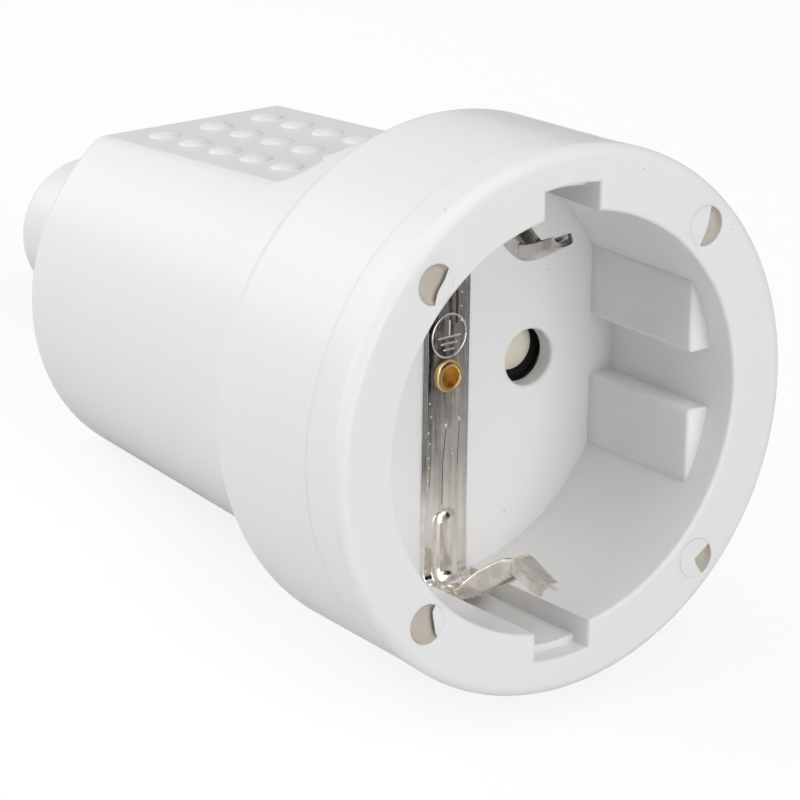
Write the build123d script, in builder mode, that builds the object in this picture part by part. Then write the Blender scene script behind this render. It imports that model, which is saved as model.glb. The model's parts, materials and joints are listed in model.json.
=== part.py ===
from build123d import *
from math import atan, cos, degrees, pi, radians, sin, sqrt, tan
import os

# Inline socket connector: a white earthed socket on the end of a cord, in millimetres.
# It is modelled straight, about its own axis. The middle of the ring's front face is the
# origin, the axis runs back along +Y to the cable entry, and the grip flats face +Z and -Z.
# The last step lays it on the surface it rests on, with its shoulder and its tail touching.

# Plug system
pin_pitch = 19.0
pin_dia = 4.8
pin_length = 19.0
pin_slip = 0.02
recess_dia = 39.0
recess_depth = 17.5

# Ring and collar
ring_width = 6.0
collar_draft = 0.7
collar_overrun = 0.8
ring_edge_radius = 1.2
mouth_edge_radius = 0.4
rim_length = 5.0
ring_thickness = 2.2
cup_wall = 1.9
spigot_length = 3.0
spigot_wall = 1.0
housing_clearance = 0.1

# Keys, notches and ring holes
key_reach = 2.6
key_setback = 3.3
key_groove = 5.5
key_edge_radius = 0.35
notch_width = 6.2
notch_depth = 2.6
notch_wall = 1.3
ring_hole_dia = 4.0
ring_hole_offset = 2.9
ring_hole_ledge = 0.9

# Floor of the recess and what stands behind it
floor_thickness = 1.8
pin_entry_dia = 5.4
pin_entry_edge = 0.25
chamber_depth = 3.0
skirt_gap = 0.6
skirt_wall = 1.6
pivot_dia = 6.0
screw_post_dia = 5.0
screw_post_offset = 12.5

# Grip shell
shoulder_length = 2.9
body_front_dia = 41.8
body_rear_dia = 37.1
body_edge_radius = 1.0
shell_wall = 2.1
shell_seat_depth = 0.2
rear_wall = 2.4
grip_setback = 6.6
grip_front_height = 17.37
grip_fall = 0.068
grip_flat_width = 15.0
grip_corner_radius = 3.7
grip_wall = 1.9
stud_dia = 3.0
stud_height = 0.5
stud_taper = 38
stud_across = 6.0
stud_along = 5.0
stud_columns = 3
stud_rows = 5
stud_first_row = 6.7
lug_width = 7.0
lug_length = 1.9
lug_reach = 1.5

# Cable sleeve
cable_bore_dia = 9.0
sleeve_dia = 14.8
sleeve_end_dia = 14.2
sleeve_length = 19.6
sleeve_edge_radius = 1.3
sleeve_flange_dia = 19.2
sleeve_flange = 1.8

# Earth strap and its two spring clips
strap_width = 5.3
strap_thickness = 0.7
strap_stand = 0.4
strap_foot_gap = 2.05
strap_bend_radius = 1.5
foot_length = 5.1
clip_crest_height = 14.0
clip_crest_depth = 6.3
clip_crest_rise = 0.3
clip_tip_height = 15.4
clip_tip_depth = 1.8
clip_tip_rake = 0.4
clip_crest_radius = 1.6
clip_width = 2.5
clip_root_rise = 3.25
clip_bend_drop = 0.75
clip_flange = 1.7
clip_sheet = 0.5
clip_foot_setback = 0.3
clip_channel_end = 11.8
clip_channel_rise = 1.85
bead_start = 12.6
bead_length = 5.8
bead_width = 2.7
bead_height = 0.5

# Tubular rivet
rivet_dia = 2.4
rivet_bore = 1.7
rivet_head_dia = 3.0
rivet_head = 0.35
rivet_tail_dia = 4.0
rivet_clearance = 0.06

# Shutter
shutter_clearance = 0.08
shutter_hub_wall = 1.6
shutter_arm_width = 4.4
shutter_thickness = 1.1
shutter_pad_dia = 4.7
shutter_dome = 0.5
shutter_gap = 0.4
shutter_play = 0.2
shutter_rest_turn = 3.4
spring_offset = 6.4
spring_reach = 1.1
spring_sheet = 0.25
spring_bend_radius = 0.5
spring_length = 7.1
spring_gap = 0.1
post_size = 2.0
post_thickness = 1.5
post_height = 2.9

# Contact carrier, pin contacts and terminals
carrier_thickness = 3.0
carrier_lip = 0.6
chamber_wall = 0.85
chamber_length = 11.1
sleeve_wall = 0.58
contact_slit = 0.8
contact_stop_length = 2.4
contact_clearance = 0.1
contact_spring_wall = 0.4
contact_spring_length = 3.0
contact_spring_start = 3.6
contact_spring_slit = 1.2
terminal_dia = 7.2
terminal_length = 9.0
wire_bore = 3.2
wire_depth = 7.0
terminal_screw_dia = 2.2
terminal_head_dia = 4.2
terminal_head = 1.6
terminal_screw_set = 3.6
screw_slot = 0.6
earth_block_width = 6.8
earth_block_height = 6.6
earth_block_length = 9.7
earth_foot = 1.0
earth_foot_reach = 3.4

# Carrier screws, cord clamp and its screws
carrier_screw_dia = 2.4
carrier_head_dia = 4.2
carrier_head = 1.7
carrier_screw_length = 6.3
tail_width = 21.0
tail_thickness = 2.0
tail_drop = 10.3
tail_gap = 0.6
saddle_length = 7.0
wire_room = 2.2
saddle_gap = 0.5
cord_groove_dia = 8.4
clamp_height = 5.0
clamp_screw_offset = 7.6
clamp_screw_dia = 2.8
clamp_head_dia = 4.8
clamp_head = 1.8
clamp_screw_length = 11.0
screw_clearance = 0.06

# Worked out from the sizes above
recess_radius = recess_dia / 2
collar_radius = recess_radius + ring_width
collar_dia = 2 * collar_radius
key_chord = recess_radius - key_reach
notch_reach = recess_radius + notch_depth
ring_hole_radius = recess_radius + ring_hole_offset
collar_rear_radius = collar_radius - collar_draft
collar_length = recess_depth + collar_overrun
collar_taper = (collar_radius - collar_rear_radius) / collar_length
rim_radius = collar_radius - collar_taper * rim_length
cup_radius = recess_radius + cup_wall
shell_bore_radius = rim_radius - shell_wall + shell_seat_depth
spigot_radius = shell_bore_radius - housing_clearance
spigot_end = rim_length + spigot_length
floor_back = recess_depth + floor_thickness
chamber_back = floor_back + chamber_depth
body_front_radius = body_front_dia / 2
skirt_radius = body_front_radius - shell_wall - skirt_gap
carrier_radius = skirt_radius - housing_clearance
body_rear_radius = body_rear_dia / 2
shoulder_end = collar_length + shoulder_length
carrier_back = chamber_back + carrier_thickness
chamber_end = carrier_back + chamber_length
contact_start = chamber_back + carrier_lip + contact_clearance
contact_end = chamber_end + terminal_length
saddle_start = contact_end + wire_room
tail_end = saddle_start + saddle_length
body_end = tail_end + tail_gap + sleeve_flange + rear_wall
grip_start = shoulder_end + grip_setback
sleeve_end = body_end + sleeve_length
shoulder_height = collar_rear_radius - body_front_radius
body_taper = (body_front_radius - body_rear_radius) / (body_end - shoulder_end)
notch_end = recess_depth + strap_thickness
strap_front = recess_depth - strap_stand
strap_back = strap_front + strap_thickness
bend_depth = strap_front + strap_thickness / 2
strap_foot = notch_reach - strap_foot_gap
clip_root_height = strap_foot - clip_root_rise
clip_bend_height = strap_foot + clip_bend_drop
clip_channel_height = strap_foot - clip_channel_rise
foot_end = strap_front - foot_length
pin_x = pin_pitch / 2
bore_radius = pin_dia / 2 + pin_slip
sleeve_radius = bore_radius + sleeve_wall
spring_radius = sleeve_radius + contact_spring_wall
chamber_radius = spring_radius + contact_clearance
shutter_front = floor_back + shutter_gap + shutter_dome
shutter_back = shutter_front + shutter_thickness


def across(depth):
    """Plane across the axis, this far behind the front face, seen from the front."""
    return Plane.XZ.offset(-depth)


def turned(piece, axis, angle):
    """Copy of a piece turned about an axis, with its name kept."""
    copy = piece.rotate(axis, angle)
    copy.label = piece.label
    return copy


def body_radius(depth):
    """Outer radius of the tapered body this far behind the front face."""
    return body_front_radius - body_taper * (depth - shoulder_end)


def grip_plane(side, inset=0.0):
    """Sloping plane of the grip flat above (1) or below (-1) the axis, y towards the rear."""
    return Plane(
        origin=(0, grip_start, side * (grip_front_height - inset)),
        x_dir=(side, 0, 0),
        z_dir=(0, grip_fall, side),
    )


# Front piece: ring, recess cup with its keys and notches, floor, and the shutter chamber behind
with BuildPart() as socket_front:
    with BuildSketch(Plane.XY) as cup_section:
        with BuildLine():
            mouth = Polyline(
                (0, floor_back),
                (0, recess_depth),
                (recess_radius, recess_depth),
                (recess_radius, mouth_edge_radius),
            )
            lip = RadiusArc(mouth @ 1, (recess_radius + mouth_edge_radius, 0), mouth_edge_radius)
            face = Line(lip @ 1, (collar_radius - ring_edge_radius, 0))
            edge = RadiusArc(face @ 1, (collar_radius, ring_edge_radius), -ring_edge_radius)
            Polyline(
                edge @ 1,
                (rim_radius, rim_length),
                (spigot_radius, rim_length),
                (spigot_radius, spigot_end),
                (spigot_radius - spigot_wall, spigot_end),
                (spigot_radius - spigot_wall, ring_thickness),
                (cup_radius, ring_thickness),
                (cup_radius, floor_back),
                (skirt_radius, floor_back),
                (skirt_radius, chamber_back),
                (skirt_radius - skirt_wall, chamber_back),
                (skirt_radius - skirt_wall, floor_back),
                (0, floor_back),
            )
        make_face()
    revolve(axis=Axis.Y)
    # Walls round the two notches that give the earth clips room
    with BuildSketch(across(ring_thickness)):
        Circle(spigot_radius)
        Rectangle(notch_width + 2 * notch_wall, 2 * collar_dia, mode=Mode.INTERSECT)
        Circle(recess_radius + cup_wall / 2, mode=Mode.SUBTRACT)
    extrude(amount=-(notch_end + notch_wall / 2 - ring_thickness))
    with BuildSketch(across(0)):
        Circle(notch_reach)
        Rectangle(notch_width, 2 * collar_dia, mode=Mode.INTERSECT)
        Circle(recess_radius / 2, mode=Mode.SUBTRACT)
    extrude(amount=-recess_depth, mode=Mode.SUBTRACT)
    with BuildSketch(across(recess_depth)):
        Circle(notch_reach)
        Rectangle(strap_width + 2 * housing_clearance, 2 * collar_dia, mode=Mode.INTERSECT)
    extrude(amount=-(strap_back - recess_depth), mode=Mode.SUBTRACT)
    # Keys on both sides of the recess, each with a groove through its middle
    with BuildSketch(across(key_setback)):
        Circle(recess_radius + cup_wall / 2)
        Rectangle(2 * key_chord, 2 * recess_dia, mode=Mode.SUBTRACT)
        Rectangle(2 * recess_dia, key_groove, mode=Mode.SUBTRACT)
    extrude(amount=-(recess_depth - key_setback))
    key_fronts = (
        socket_front.edges()
        .filter_by(Axis.Z)
        .filter_by_position(Axis.Y, key_setback, key_setback)
    )
    fillet(key_fronts, radius=key_edge_radius)
    # Holes in the ring: a shallow round recess, open behind the cup wall
    with BuildSketch(across(0)):
        with PolarLocations(ring_hole_radius, 4, start_angle=45):
            Circle(ring_hole_dia / 2)
    extrude(amount=-ring_hole_ledge, mode=Mode.SUBTRACT)
    with BuildSketch(across(0)):
        with PolarLocations(ring_hole_radius, 4, start_angle=45):
            Circle(ring_hole_dia / 2)
        Circle(cup_radius, mode=Mode.SUBTRACT)
    extrude(amount=-spigot_end, mode=Mode.SUBTRACT)
    # Pivot of the shutter, posts for the carrier screws, spring seat and shutter stop
    with BuildSketch(across(floor_back)):
        Circle(pivot_dia / 2)
        with Locations((0, screw_post_offset), (0, -screw_post_offset)):
            Circle(screw_post_dia / 2)
    extrude(amount=-chamber_depth)
    with BuildSketch(across(floor_back)):
        with Locations(Rotation(0, 0, shutter_rest_turn)), Locations(
            (-spring_offset, -shutter_arm_width / 2 - 2 * spring_gap - spring_length - post_thickness / 2),
            (-spring_offset, shutter_arm_width / 2 + spring_gap + post_thickness / 2),
        ):
            Rectangle(post_size, post_thickness)
    extrude(amount=-post_height)
    # Holes for the pins, the rivet and the carrier screws
    with BuildSketch(across(recess_depth)):
        with Locations((-pin_x, 0), (pin_x, 0)):
            Circle(pin_entry_dia / 2)
    extrude(amount=-floor_thickness, mode=Mode.SUBTRACT)
    entry_edges = (
        socket_front.edges()
        .filter_by(GeomType.CIRCLE)
        .filter_by(lambda e: abs(e.radius - pin_entry_dia / 2) < 0.01)
        .filter_by_position(Axis.Y, recess_depth - 0.01, recess_depth + 0.01)
    )
    fillet(entry_edges, radius=pin_entry_edge)
    with BuildSketch(across(strap_back)):
        Circle(rivet_dia / 2 + rivet_clearance)
    extrude(amount=-(chamber_back - strap_back), mode=Mode.SUBTRACT)
    with BuildSketch(across(chamber_back)):
        with Locations((0, screw_post_offset), (0, -screw_post_offset)):
            Circle(carrier_screw_dia / 2)
    extrude(amount=carrier_screw_length - carrier_thickness, mode=Mode.SUBTRACT)
socket_front.part.label = "socket_front"

# Inside of the grip shell, with its own flats under the grip flats
with BuildPart() as grip_cavity:
    with BuildSketch(Plane.XY):
        with BuildLine():
            Polyline(
                (0, rim_length),
                (shell_bore_radius, rim_length),
                (shell_bore_radius, notch_end + notch_wall / 2 + housing_clearance),
                (cup_radius + 2 * housing_clearance, floor_back + housing_clearance),
                (skirt_radius + cup_wall / 4, floor_back + housing_clearance),
                (body_radius(shoulder_end + shell_wall) - shell_wall, shoulder_end + shell_wall),
                (body_radius(body_end) - shell_wall, body_end - rear_wall),
                (0, body_end - rear_wall),
                close=True,
            )
        make_face()
    revolve(axis=Axis.Y)
    for side in (1, -1):
        with BuildSketch(grip_plane(side, grip_wall)):
            with Locations((0, body_end / 2 - shell_wall)):
                Rectangle(2 * collar_dia, body_end)
        extrude(amount=collar_dia, mode=Mode.SUBTRACT)

# Grip shell: collar, rounded shoulder and tapered body with two studded grip flats
with BuildPart() as grip_shell:
    with BuildSketch(Plane.XY):
        with BuildLine():
            start = Polyline((0, rim_length), (rim_radius, rim_length), (collar_rear_radius, collar_length))
            shoulder = EllipticalCenterArc(
                (body_front_radius, collar_length), shoulder_height, shoulder_length, 0, arc_size=90
            )
            taper = Line(
                (body_front_radius, shoulder_end),
                (body_radius(body_end - body_edge_radius), body_end - body_edge_radius),
            )
            tail = RadiusArc(
                taper @ 1,
                (body_rear_radius - body_edge_radius, body_end),
                -body_edge_radius * 1.03,
            )
            Polyline(tail @ 1, (0, body_end), (0, rim_length))
        make_face()
    revolve(axis=Axis.Y)
    for side in (1, -1):
        with BuildSketch(grip_plane(side)):
            with BuildLine():
                half = grip_flat_width / 2
                wall = Line((-half, 0), (half, 0))
                right = RadiusArc(
                    (half, 0), (half + grip_corner_radius, grip_corner_radius), -grip_corner_radius
                )
                left = RadiusArc(
                    (-half, 0), (-half - grip_corner_radius, grip_corner_radius), grip_corner_radius
                )
                Polyline(right @ 1, (collar_radius, body_end), (-collar_radius, body_end), left @ 1)
            make_face()
        extrude(amount=collar_radius, mode=Mode.SUBTRACT)
        with BuildSketch(grip_plane(side)):
            with Locations((0, stud_first_row + (stud_rows - 1) / 2 * stud_along)):
                with GridLocations(stud_across, stud_along, stud_columns, stud_rows):
                    Circle(stud_dia / 2)
        extrude(amount=stud_height, taper=stud_taper)
    add(grip_cavity.part, mode=Mode.SUBTRACT)
    # Lugs that catch the back of the front piece's spigot, one behind each hole in the ring
    with BuildSketch(across(spigot_end + housing_clearance)):
        with PolarLocations(shell_bore_radius - lug_reach / 2 + 0.4, 4, start_angle=45):
            Rectangle(lug_reach + 0.8, lug_width)
        Circle(shell_bore_radius + 0.3, mode=Mode.INTERSECT)
    extrude(amount=-lug_length)
    with BuildSketch(across(body_end)):
        Circle(sleeve_dia / 2 + housing_clearance)
    extrude(amount=rear_wall, mode=Mode.SUBTRACT)
grip_shell.part.label = "grip_shell"

# Cable sleeve: tapered tube with a flange that sits inside the rear wall
with BuildPart() as cable_sleeve:
    with BuildSketch(Plane.XY):
        flange_back = body_end - rear_wall
        with BuildLine():
            run = Polyline(
                (cable_bore_dia / 2, flange_back - sleeve_flange),
                (sleeve_flange_dia / 2, flange_back - sleeve_flange),
                (sleeve_flange_dia / 2, flange_back),
                (sleeve_dia / 2, flange_back),
                (sleeve_dia / 2, body_end),
                (sleeve_end_dia / 2, sleeve_end - sleeve_edge_radius),
            )
            tip = RadiusArc(
                run @ 1, (sleeve_end_dia / 2 - sleeve_edge_radius, sleeve_end), -sleeve_edge_radius
            )
            Polyline(tip @ 1, (cable_bore_dia / 2, sleeve_end), run @ 0)
        make_face()
    revolve(axis=Axis.Y)
cable_sleeve.part.label = "cable_sleeve"

# Earth strap: one folded strip, with a channel-shaped spring clip at each end
with BuildPart() as earth_strap:
    for side in (1, -1):
        with BuildSketch(Plane.YZ):
            with BuildLine():
                spine = FilletPolyline(
                    (bend_depth, 0),
                    (bend_depth, side * strap_foot),
                    (foot_end, side * strap_foot),
                    radius=strap_bend_radius,
                )
                offset(amount=strap_thickness / 2, side=Side.BOTH)
            make_face()
        extrude(amount=strap_width / 2, both=True)
        with BuildSketch(Plane.YZ):
            with BuildLine():
                root = Line(
                    (bend_depth, side * clip_root_height),
                    (strap_front - bead_height, side * clip_root_height),
                )
                top = FilletPolyline(
                    root @ 1,
                    (strap_front - bead_height, side * clip_bend_height),
                    (clip_crest_depth, side * (clip_crest_height - clip_crest_rise)),
                    (clip_tip_depth, side * clip_tip_height),
                    radius=clip_crest_radius,
                )
                flange = Polyline(
                    top @ 1,
                    (clip_tip_depth + clip_tip_rake, side * (clip_tip_height + clip_flange)),
                    (clip_crest_depth, side * (clip_crest_height + clip_flange)),
                    (foot_end + clip_foot_setback, side * (strap_foot - strap_thickness / 4)),
                    (bend_depth - strap_bend_radius, side * strap_foot),
                )
                bend = ThreePointArc(
                    flange @ 1,
                    (
                        bend_depth - strap_bend_radius * (1 - sin(pi / 4)),
                        side * (strap_foot - strap_bend_radius * (1 - sin(pi / 4))),
                    ),
                    (bend_depth, side * (strap_foot - strap_bend_radius)),
                )
                Line(bend @ 1, root @ 0)
            make_face()
        extrude(amount=clip_width / 2, both=True)
        with BuildSketch(Plane.YZ):
            with BuildLine():
                Polyline(
                    (clip_tip_depth - clip_tip_rake, side * (clip_tip_height + clip_sheet)),
                    (clip_crest_depth, side * (clip_crest_height + clip_sheet)),
                    (clip_channel_end, side * clip_channel_height),
                    (clip_channel_end, side * (strap_foot + clip_flange)),
                    (0, side * (strap_foot + clip_flange)),
                    (0, side * (clip_tip_height + clip_sheet)),
                    close=True,
                )
            make_face()
        extrude(amount=clip_width / 2 - clip_sheet, both=True, mode=Mode.SUBTRACT)
        with BuildSketch(across(bend_depth)):
            with Locations((0, side * (bead_start + bead_length / 2))):
                SlotOverall(bead_length, bead_width, rotation=90)
        extrude(amount=strap_thickness / 2 + bead_height, taper=20)
    with BuildSketch(across(strap_front)):
        Circle(rivet_dia / 2 + rivet_clearance)
    extrude(amount=-strap_thickness, mode=Mode.SUBTRACT)
earth_strap.part.label = "earth_strap"

# Tubular rivet that clamps the strap, the floor, the carrier and the earth terminal together
with BuildPart() as centre_rivet:
    with BuildSketch(Plane.XY):
        tail_front = carrier_back + earth_foot
        with BuildLine():
            Polyline(
                (rivet_bore / 2, strap_front - rivet_head),
                (rivet_head_dia / 2 - rivet_head / 2, strap_front - rivet_head),
                (rivet_head_dia / 2, strap_front - rivet_head / 2),
                (rivet_head_dia / 2, strap_front),
                (rivet_dia / 2, strap_front),
                (rivet_dia / 2, tail_front),
                (rivet_tail_dia / 2, tail_front),
                (rivet_tail_dia / 2 - rivet_head / 2, tail_front + rivet_head),
                (rivet_bore / 2, tail_front + rivet_head),
                close=True,
            )
        make_face()
    revolve(axis=Axis.Y)
centre_rivet.part.label = "centre_rivet"

# Shutter: a two-armed rotor on the pivot, with a domed pad behind each pin hole.
# It is modelled level, and the last step gives it and its spring the slight turn of its rest.
with BuildPart() as shutter:
    with BuildSketch(across(shutter_front)):
        Circle(pivot_dia / 2 + shutter_clearance + shutter_hub_wall)
        Rectangle(pin_pitch, shutter_arm_width)
        with Locations((-pin_x, 0), (pin_x, 0)):
            Circle(shutter_pad_dia / 2)
    extrude(amount=-shutter_thickness)
    with BuildSketch(across(floor_back + shutter_play)):
        Circle(pivot_dia / 2 + shutter_clearance + shutter_hub_wall)
    extrude(amount=-(shutter_front - floor_back - shutter_play))
    pad_radius = shutter_pad_dia / 2
    for place in (-pin_x, pin_x):
        with BuildSketch(Plane.XY):
            with BuildLine():
                dome = ThreePointArc(
                    (place, shutter_front - shutter_dome),
                    (place + pad_radius / 2, shutter_front - 0.76 * shutter_dome),
                    (place + pad_radius, shutter_front),
                )
                Polyline(dome @ 1, (place, shutter_front), dome @ 0)
            make_face()
        revolve(axis=Axis((place, 0, 0), (0, 1, 0)))
    with BuildSketch(across(floor_back)):
        Circle(pivot_dia / 2 + shutter_clearance)
    extrude(amount=-chamber_depth, mode=Mode.SUBTRACT)
shutter.part.label = "shutter"

# Leaf spring, bent to a hairpin, that holds the shutter's left arm up against its stop
with BuildPart() as shutter_spring:
    with BuildSketch(across(shutter_front)):
        with BuildLine():
            arm_side = -shutter_arm_width / 2 - spring_gap - spring_sheet / 2
            FilletPolyline(
                (-spring_offset - spring_reach, arm_side),
                (-spring_offset + spring_reach, arm_side),
                (-spring_offset - spring_reach, arm_side - spring_length + spring_sheet),
                (-spring_offset + spring_reach, arm_side - spring_length + spring_sheet),
                radius=spring_bend_radius,
            )
            offset(amount=spring_sheet / 2, side=Side.BOTH)
        make_face()
    extrude(amount=-shutter_thickness)
shutter_spring.part.label = "shutter_spring"

# Contact carrier: plate, two contact chambers, and the tail with the cord saddle
with BuildPart() as contact_carrier:
    with BuildSketch(across(chamber_back)):
        Circle(carrier_radius)
    extrude(amount=-carrier_thickness)
    with BuildSketch(across(carrier_back)):
        with Locations((-pin_x, 0), (pin_x, 0)):
            Circle(chamber_radius + chamber_wall)
    extrude(amount=-chamber_length)
    with BuildSketch(across(carrier_back)):
        with Locations((0, tail_thickness / 2 - tail_drop)):
            Rectangle(tail_width, tail_thickness)
    extrude(amount=-(tail_end - carrier_back))
    with BuildSketch(across(saddle_start)):
        with Locations((0, -(tail_drop + saddle_gap) / 2)):
            Rectangle(tail_width, tail_drop - saddle_gap)
        Circle(cord_groove_dia / 2, mode=Mode.SUBTRACT)
    extrude(amount=-saddle_length)
    for web in (-pin_x, pin_x):
        with BuildSketch(across(carrier_back)):
            with Locations((web, -(chamber_radius + tail_drop) / 2)):
                Rectangle(tail_thickness, tail_drop - chamber_radius)
        extrude(amount=-chamber_length)
    with BuildSketch(across(chamber_back + carrier_lip)):
        with Locations((-pin_x, 0), (pin_x, 0)):
            Circle(chamber_radius)
    extrude(amount=-(chamber_end - chamber_back - carrier_lip), mode=Mode.SUBTRACT)
    with BuildSketch(across(chamber_back)):
        with Locations((-pin_x, 0), (pin_x, 0)):
            Circle(pin_entry_dia / 2)
    extrude(amount=-carrier_lip, mode=Mode.SUBTRACT)
    with BuildSketch(across(chamber_back)):
        Circle(rivet_dia / 2 + rivet_clearance)
        with Locations((0, screw_post_offset), (0, -screw_post_offset)):
            Circle(carrier_screw_dia / 2 + screw_clearance)
    extrude(amount=-carrier_thickness, mode=Mode.SUBTRACT)
    with BuildSketch(Plane.XY.offset(-saddle_gap)):
        with Locations(
            (-clamp_screw_offset, saddle_start + saddle_length / 2),
            (clamp_screw_offset, saddle_start + saddle_length / 2),
        ):
            Circle(clamp_screw_dia / 2 + screw_clearance)
    extrude(amount=-(clamp_screw_length - clamp_height - 2 * saddle_gap), mode=Mode.SUBTRACT)
contact_carrier.part.label = "contact_carrier"

# Pin contacts, their ring springs and terminal screws, live on the left and neutral on the right
contacts = []
springs = []
terminal_screws = []
for name, place in (("line", -pin_x), ("neutral", pin_x)):
    seat = terminal_dia / 2 + contact_clearance
    screw_y = contact_end - terminal_screw_set
    with BuildPart() as contact:
        with BuildSketch(across(contact_start)):
            with Locations((place, 0)):
                Circle(sleeve_radius)
        extrude(amount=-(chamber_end - contact_start))
        with BuildSketch(across(chamber_end - contact_stop_length)):
            with Locations((place, 0)):
                Circle(chamber_radius - contact_clearance / 2)
        extrude(amount=-contact_stop_length)
        with BuildSketch(across(chamber_end)):
            with Locations((place, 0)):
                Circle(terminal_dia / 2 + contact_clearance)
        extrude(amount=-terminal_length)
        with BuildSketch(across(contact_start)):
            with Locations((place, 0)):
                Circle(bore_radius)
        extrude(amount=-(recess_depth + pin_length + 0.5 - contact_start), mode=Mode.SUBTRACT)
        with BuildSketch(across(contact_start)):
            with Locations((place, 0)):
                Rectangle(contact_slit, 2 * spring_radius)
        extrude(
            amount=-(chamber_end - contact_stop_length - contact_start - contact_slit),
            mode=Mode.SUBTRACT,
        )
        with BuildSketch(across(contact_end)):
            with Locations((place, 0)):
                Circle(wire_bore / 2)
        extrude(amount=wire_depth, mode=Mode.SUBTRACT)
        with BuildSketch(Plane.XY):
            with Locations((place, screw_y)):
                Circle(terminal_screw_dia / 2)
        extrude(amount=terminal_dia, mode=Mode.SUBTRACT)
    contact.part.label = f"{name}_contact"
    contacts.append(contact.part)
    with BuildPart() as ring_spring:
        with BuildSketch(across(contact_start + contact_spring_start)):
            with Locations((place, 0)):
                Circle(spring_radius)
                Circle(sleeve_radius, mode=Mode.SUBTRACT)
            with Locations((place, -spring_radius)):
                Rectangle(contact_spring_slit, spring_radius, mode=Mode.SUBTRACT)
        extrude(amount=-contact_spring_length)
    ring_spring.part.label = f"{name}_contact_spring"
    springs.append(ring_spring.part)
    with BuildPart() as terminal_screw:
        with BuildSketch(Plane.XY.offset(wire_bore / 2)):
            with Locations((place, screw_y)):
                Circle(terminal_screw_dia / 2)
        extrude(amount=seat - wire_bore / 2)
        with BuildSketch(Plane.XY.offset(seat)):
            with Locations((place, screw_y)):
                Circle(terminal_head_dia / 2)
        extrude(amount=terminal_head)
        with BuildSketch(Plane.XY.offset(seat + terminal_head)):
            with Locations((place, screw_y)):
                Rectangle(terminal_head_dia, screw_slot)
        extrude(amount=-terminal_head / 2, mode=Mode.SUBTRACT)
    terminal_screw.part.label = f"{name}_terminal_screw"
    terminal_screws.append(terminal_screw.part)

# Earth terminal: riveted foot with a block for the earth wire
earth_block_foot = earth_foot_reach
earth_bore_height = earth_block_foot + earth_block_height / 2
with BuildPart() as earth_terminal:
    with BuildSketch(across(carrier_back)):
        Rectangle(earth_block_width, 2 * earth_foot_reach)
    extrude(amount=-earth_foot)
    with BuildSketch(across(carrier_back)):
        with Locations((0, earth_bore_height)):
            Rectangle(earth_block_width, earth_block_height)
    extrude(amount=-earth_block_length)
    with BuildSketch(across(carrier_back)):
        Circle(rivet_dia / 2 + rivet_clearance)
    extrude(amount=-earth_foot, mode=Mode.SUBTRACT)
    with BuildSketch(across(carrier_back + earth_block_length)):
        with Locations((0, earth_bore_height)):
            Circle(wire_bore / 2)
    extrude(amount=wire_depth, mode=Mode.SUBTRACT)
    with BuildSketch(Plane.XY.offset(earth_block_foot + earth_block_height)):
        with Locations((0, carrier_back + earth_block_length - terminal_screw_set)):
            Circle(terminal_screw_dia / 2)
    extrude(amount=-earth_block_height / 2, mode=Mode.SUBTRACT)
earth_terminal.part.label = "earth_terminal"

with BuildPart() as earth_terminal_screw:
    with BuildSketch(Plane.XY.offset(earth_block_foot + earth_block_height)):
        with Locations((0, carrier_back + earth_block_length - terminal_screw_set)):
            Circle(terminal_screw_dia / 2)
    extrude(amount=-(earth_block_height - wire_bore) / 2)
    with BuildSketch(Plane.XY.offset(earth_block_foot + earth_block_height)):
        with Locations((0, carrier_back + earth_block_length - terminal_screw_set)):
            Circle(terminal_head_dia / 2)
    extrude(amount=terminal_head)
    with BuildSketch(Plane.XY.offset(earth_block_foot + earth_block_height + terminal_head)):
        with Locations((0, carrier_back + earth_block_length - terminal_screw_set)):
            Rectangle(terminal_head_dia, screw_slot)
    extrude(amount=-terminal_head / 2, mode=Mode.SUBTRACT)
earth_terminal_screw.part.label = "earth_terminal_screw"

# Screws that hold the carrier on the front piece, above and below the axis
carrier_screws = []
for name, height in (("upper", screw_post_offset), ("lower", -screw_post_offset)):
    with BuildPart() as carrier_screw:
        with BuildSketch(across(carrier_back)):
            with Locations((0, height)):
                Circle(carrier_screw_dia / 2)
        extrude(amount=carrier_screw_length - 0.2)
        with BuildSketch(across(carrier_back)):
            with Locations((0, height)):
                Circle(carrier_head_dia / 2)
        extrude(amount=-carrier_head)
        with BuildSketch(across(carrier_back + carrier_head)):
            with Locations((0, height)):
                Rectangle(carrier_head_dia, screw_slot)
        extrude(amount=carrier_head / 2, mode=Mode.SUBTRACT)
    carrier_screw.part.label = f"{name}_carrier_screw"
    carrier_screws.append(carrier_screw.part)

# Cord clamp bar over the saddle, and its two screws
with BuildPart() as cord_clamp:
    with BuildSketch(across(saddle_start)):
        with Locations((0, saddle_gap + clamp_height / 2)):
            Rectangle(tail_width, clamp_height)
        Circle(cord_groove_dia / 2, mode=Mode.SUBTRACT)
    extrude(amount=-saddle_length)
    with BuildSketch(Plane.XY.offset(saddle_gap)):
        with Locations(
            (-clamp_screw_offset, saddle_start + saddle_length / 2),
            (clamp_screw_offset, saddle_start + saddle_length / 2),
        ):
            Circle(clamp_screw_dia / 2 + screw_clearance)
    extrude(amount=clamp_height, mode=Mode.SUBTRACT)
cord_clamp.part.label = "cord_clamp"

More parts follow.
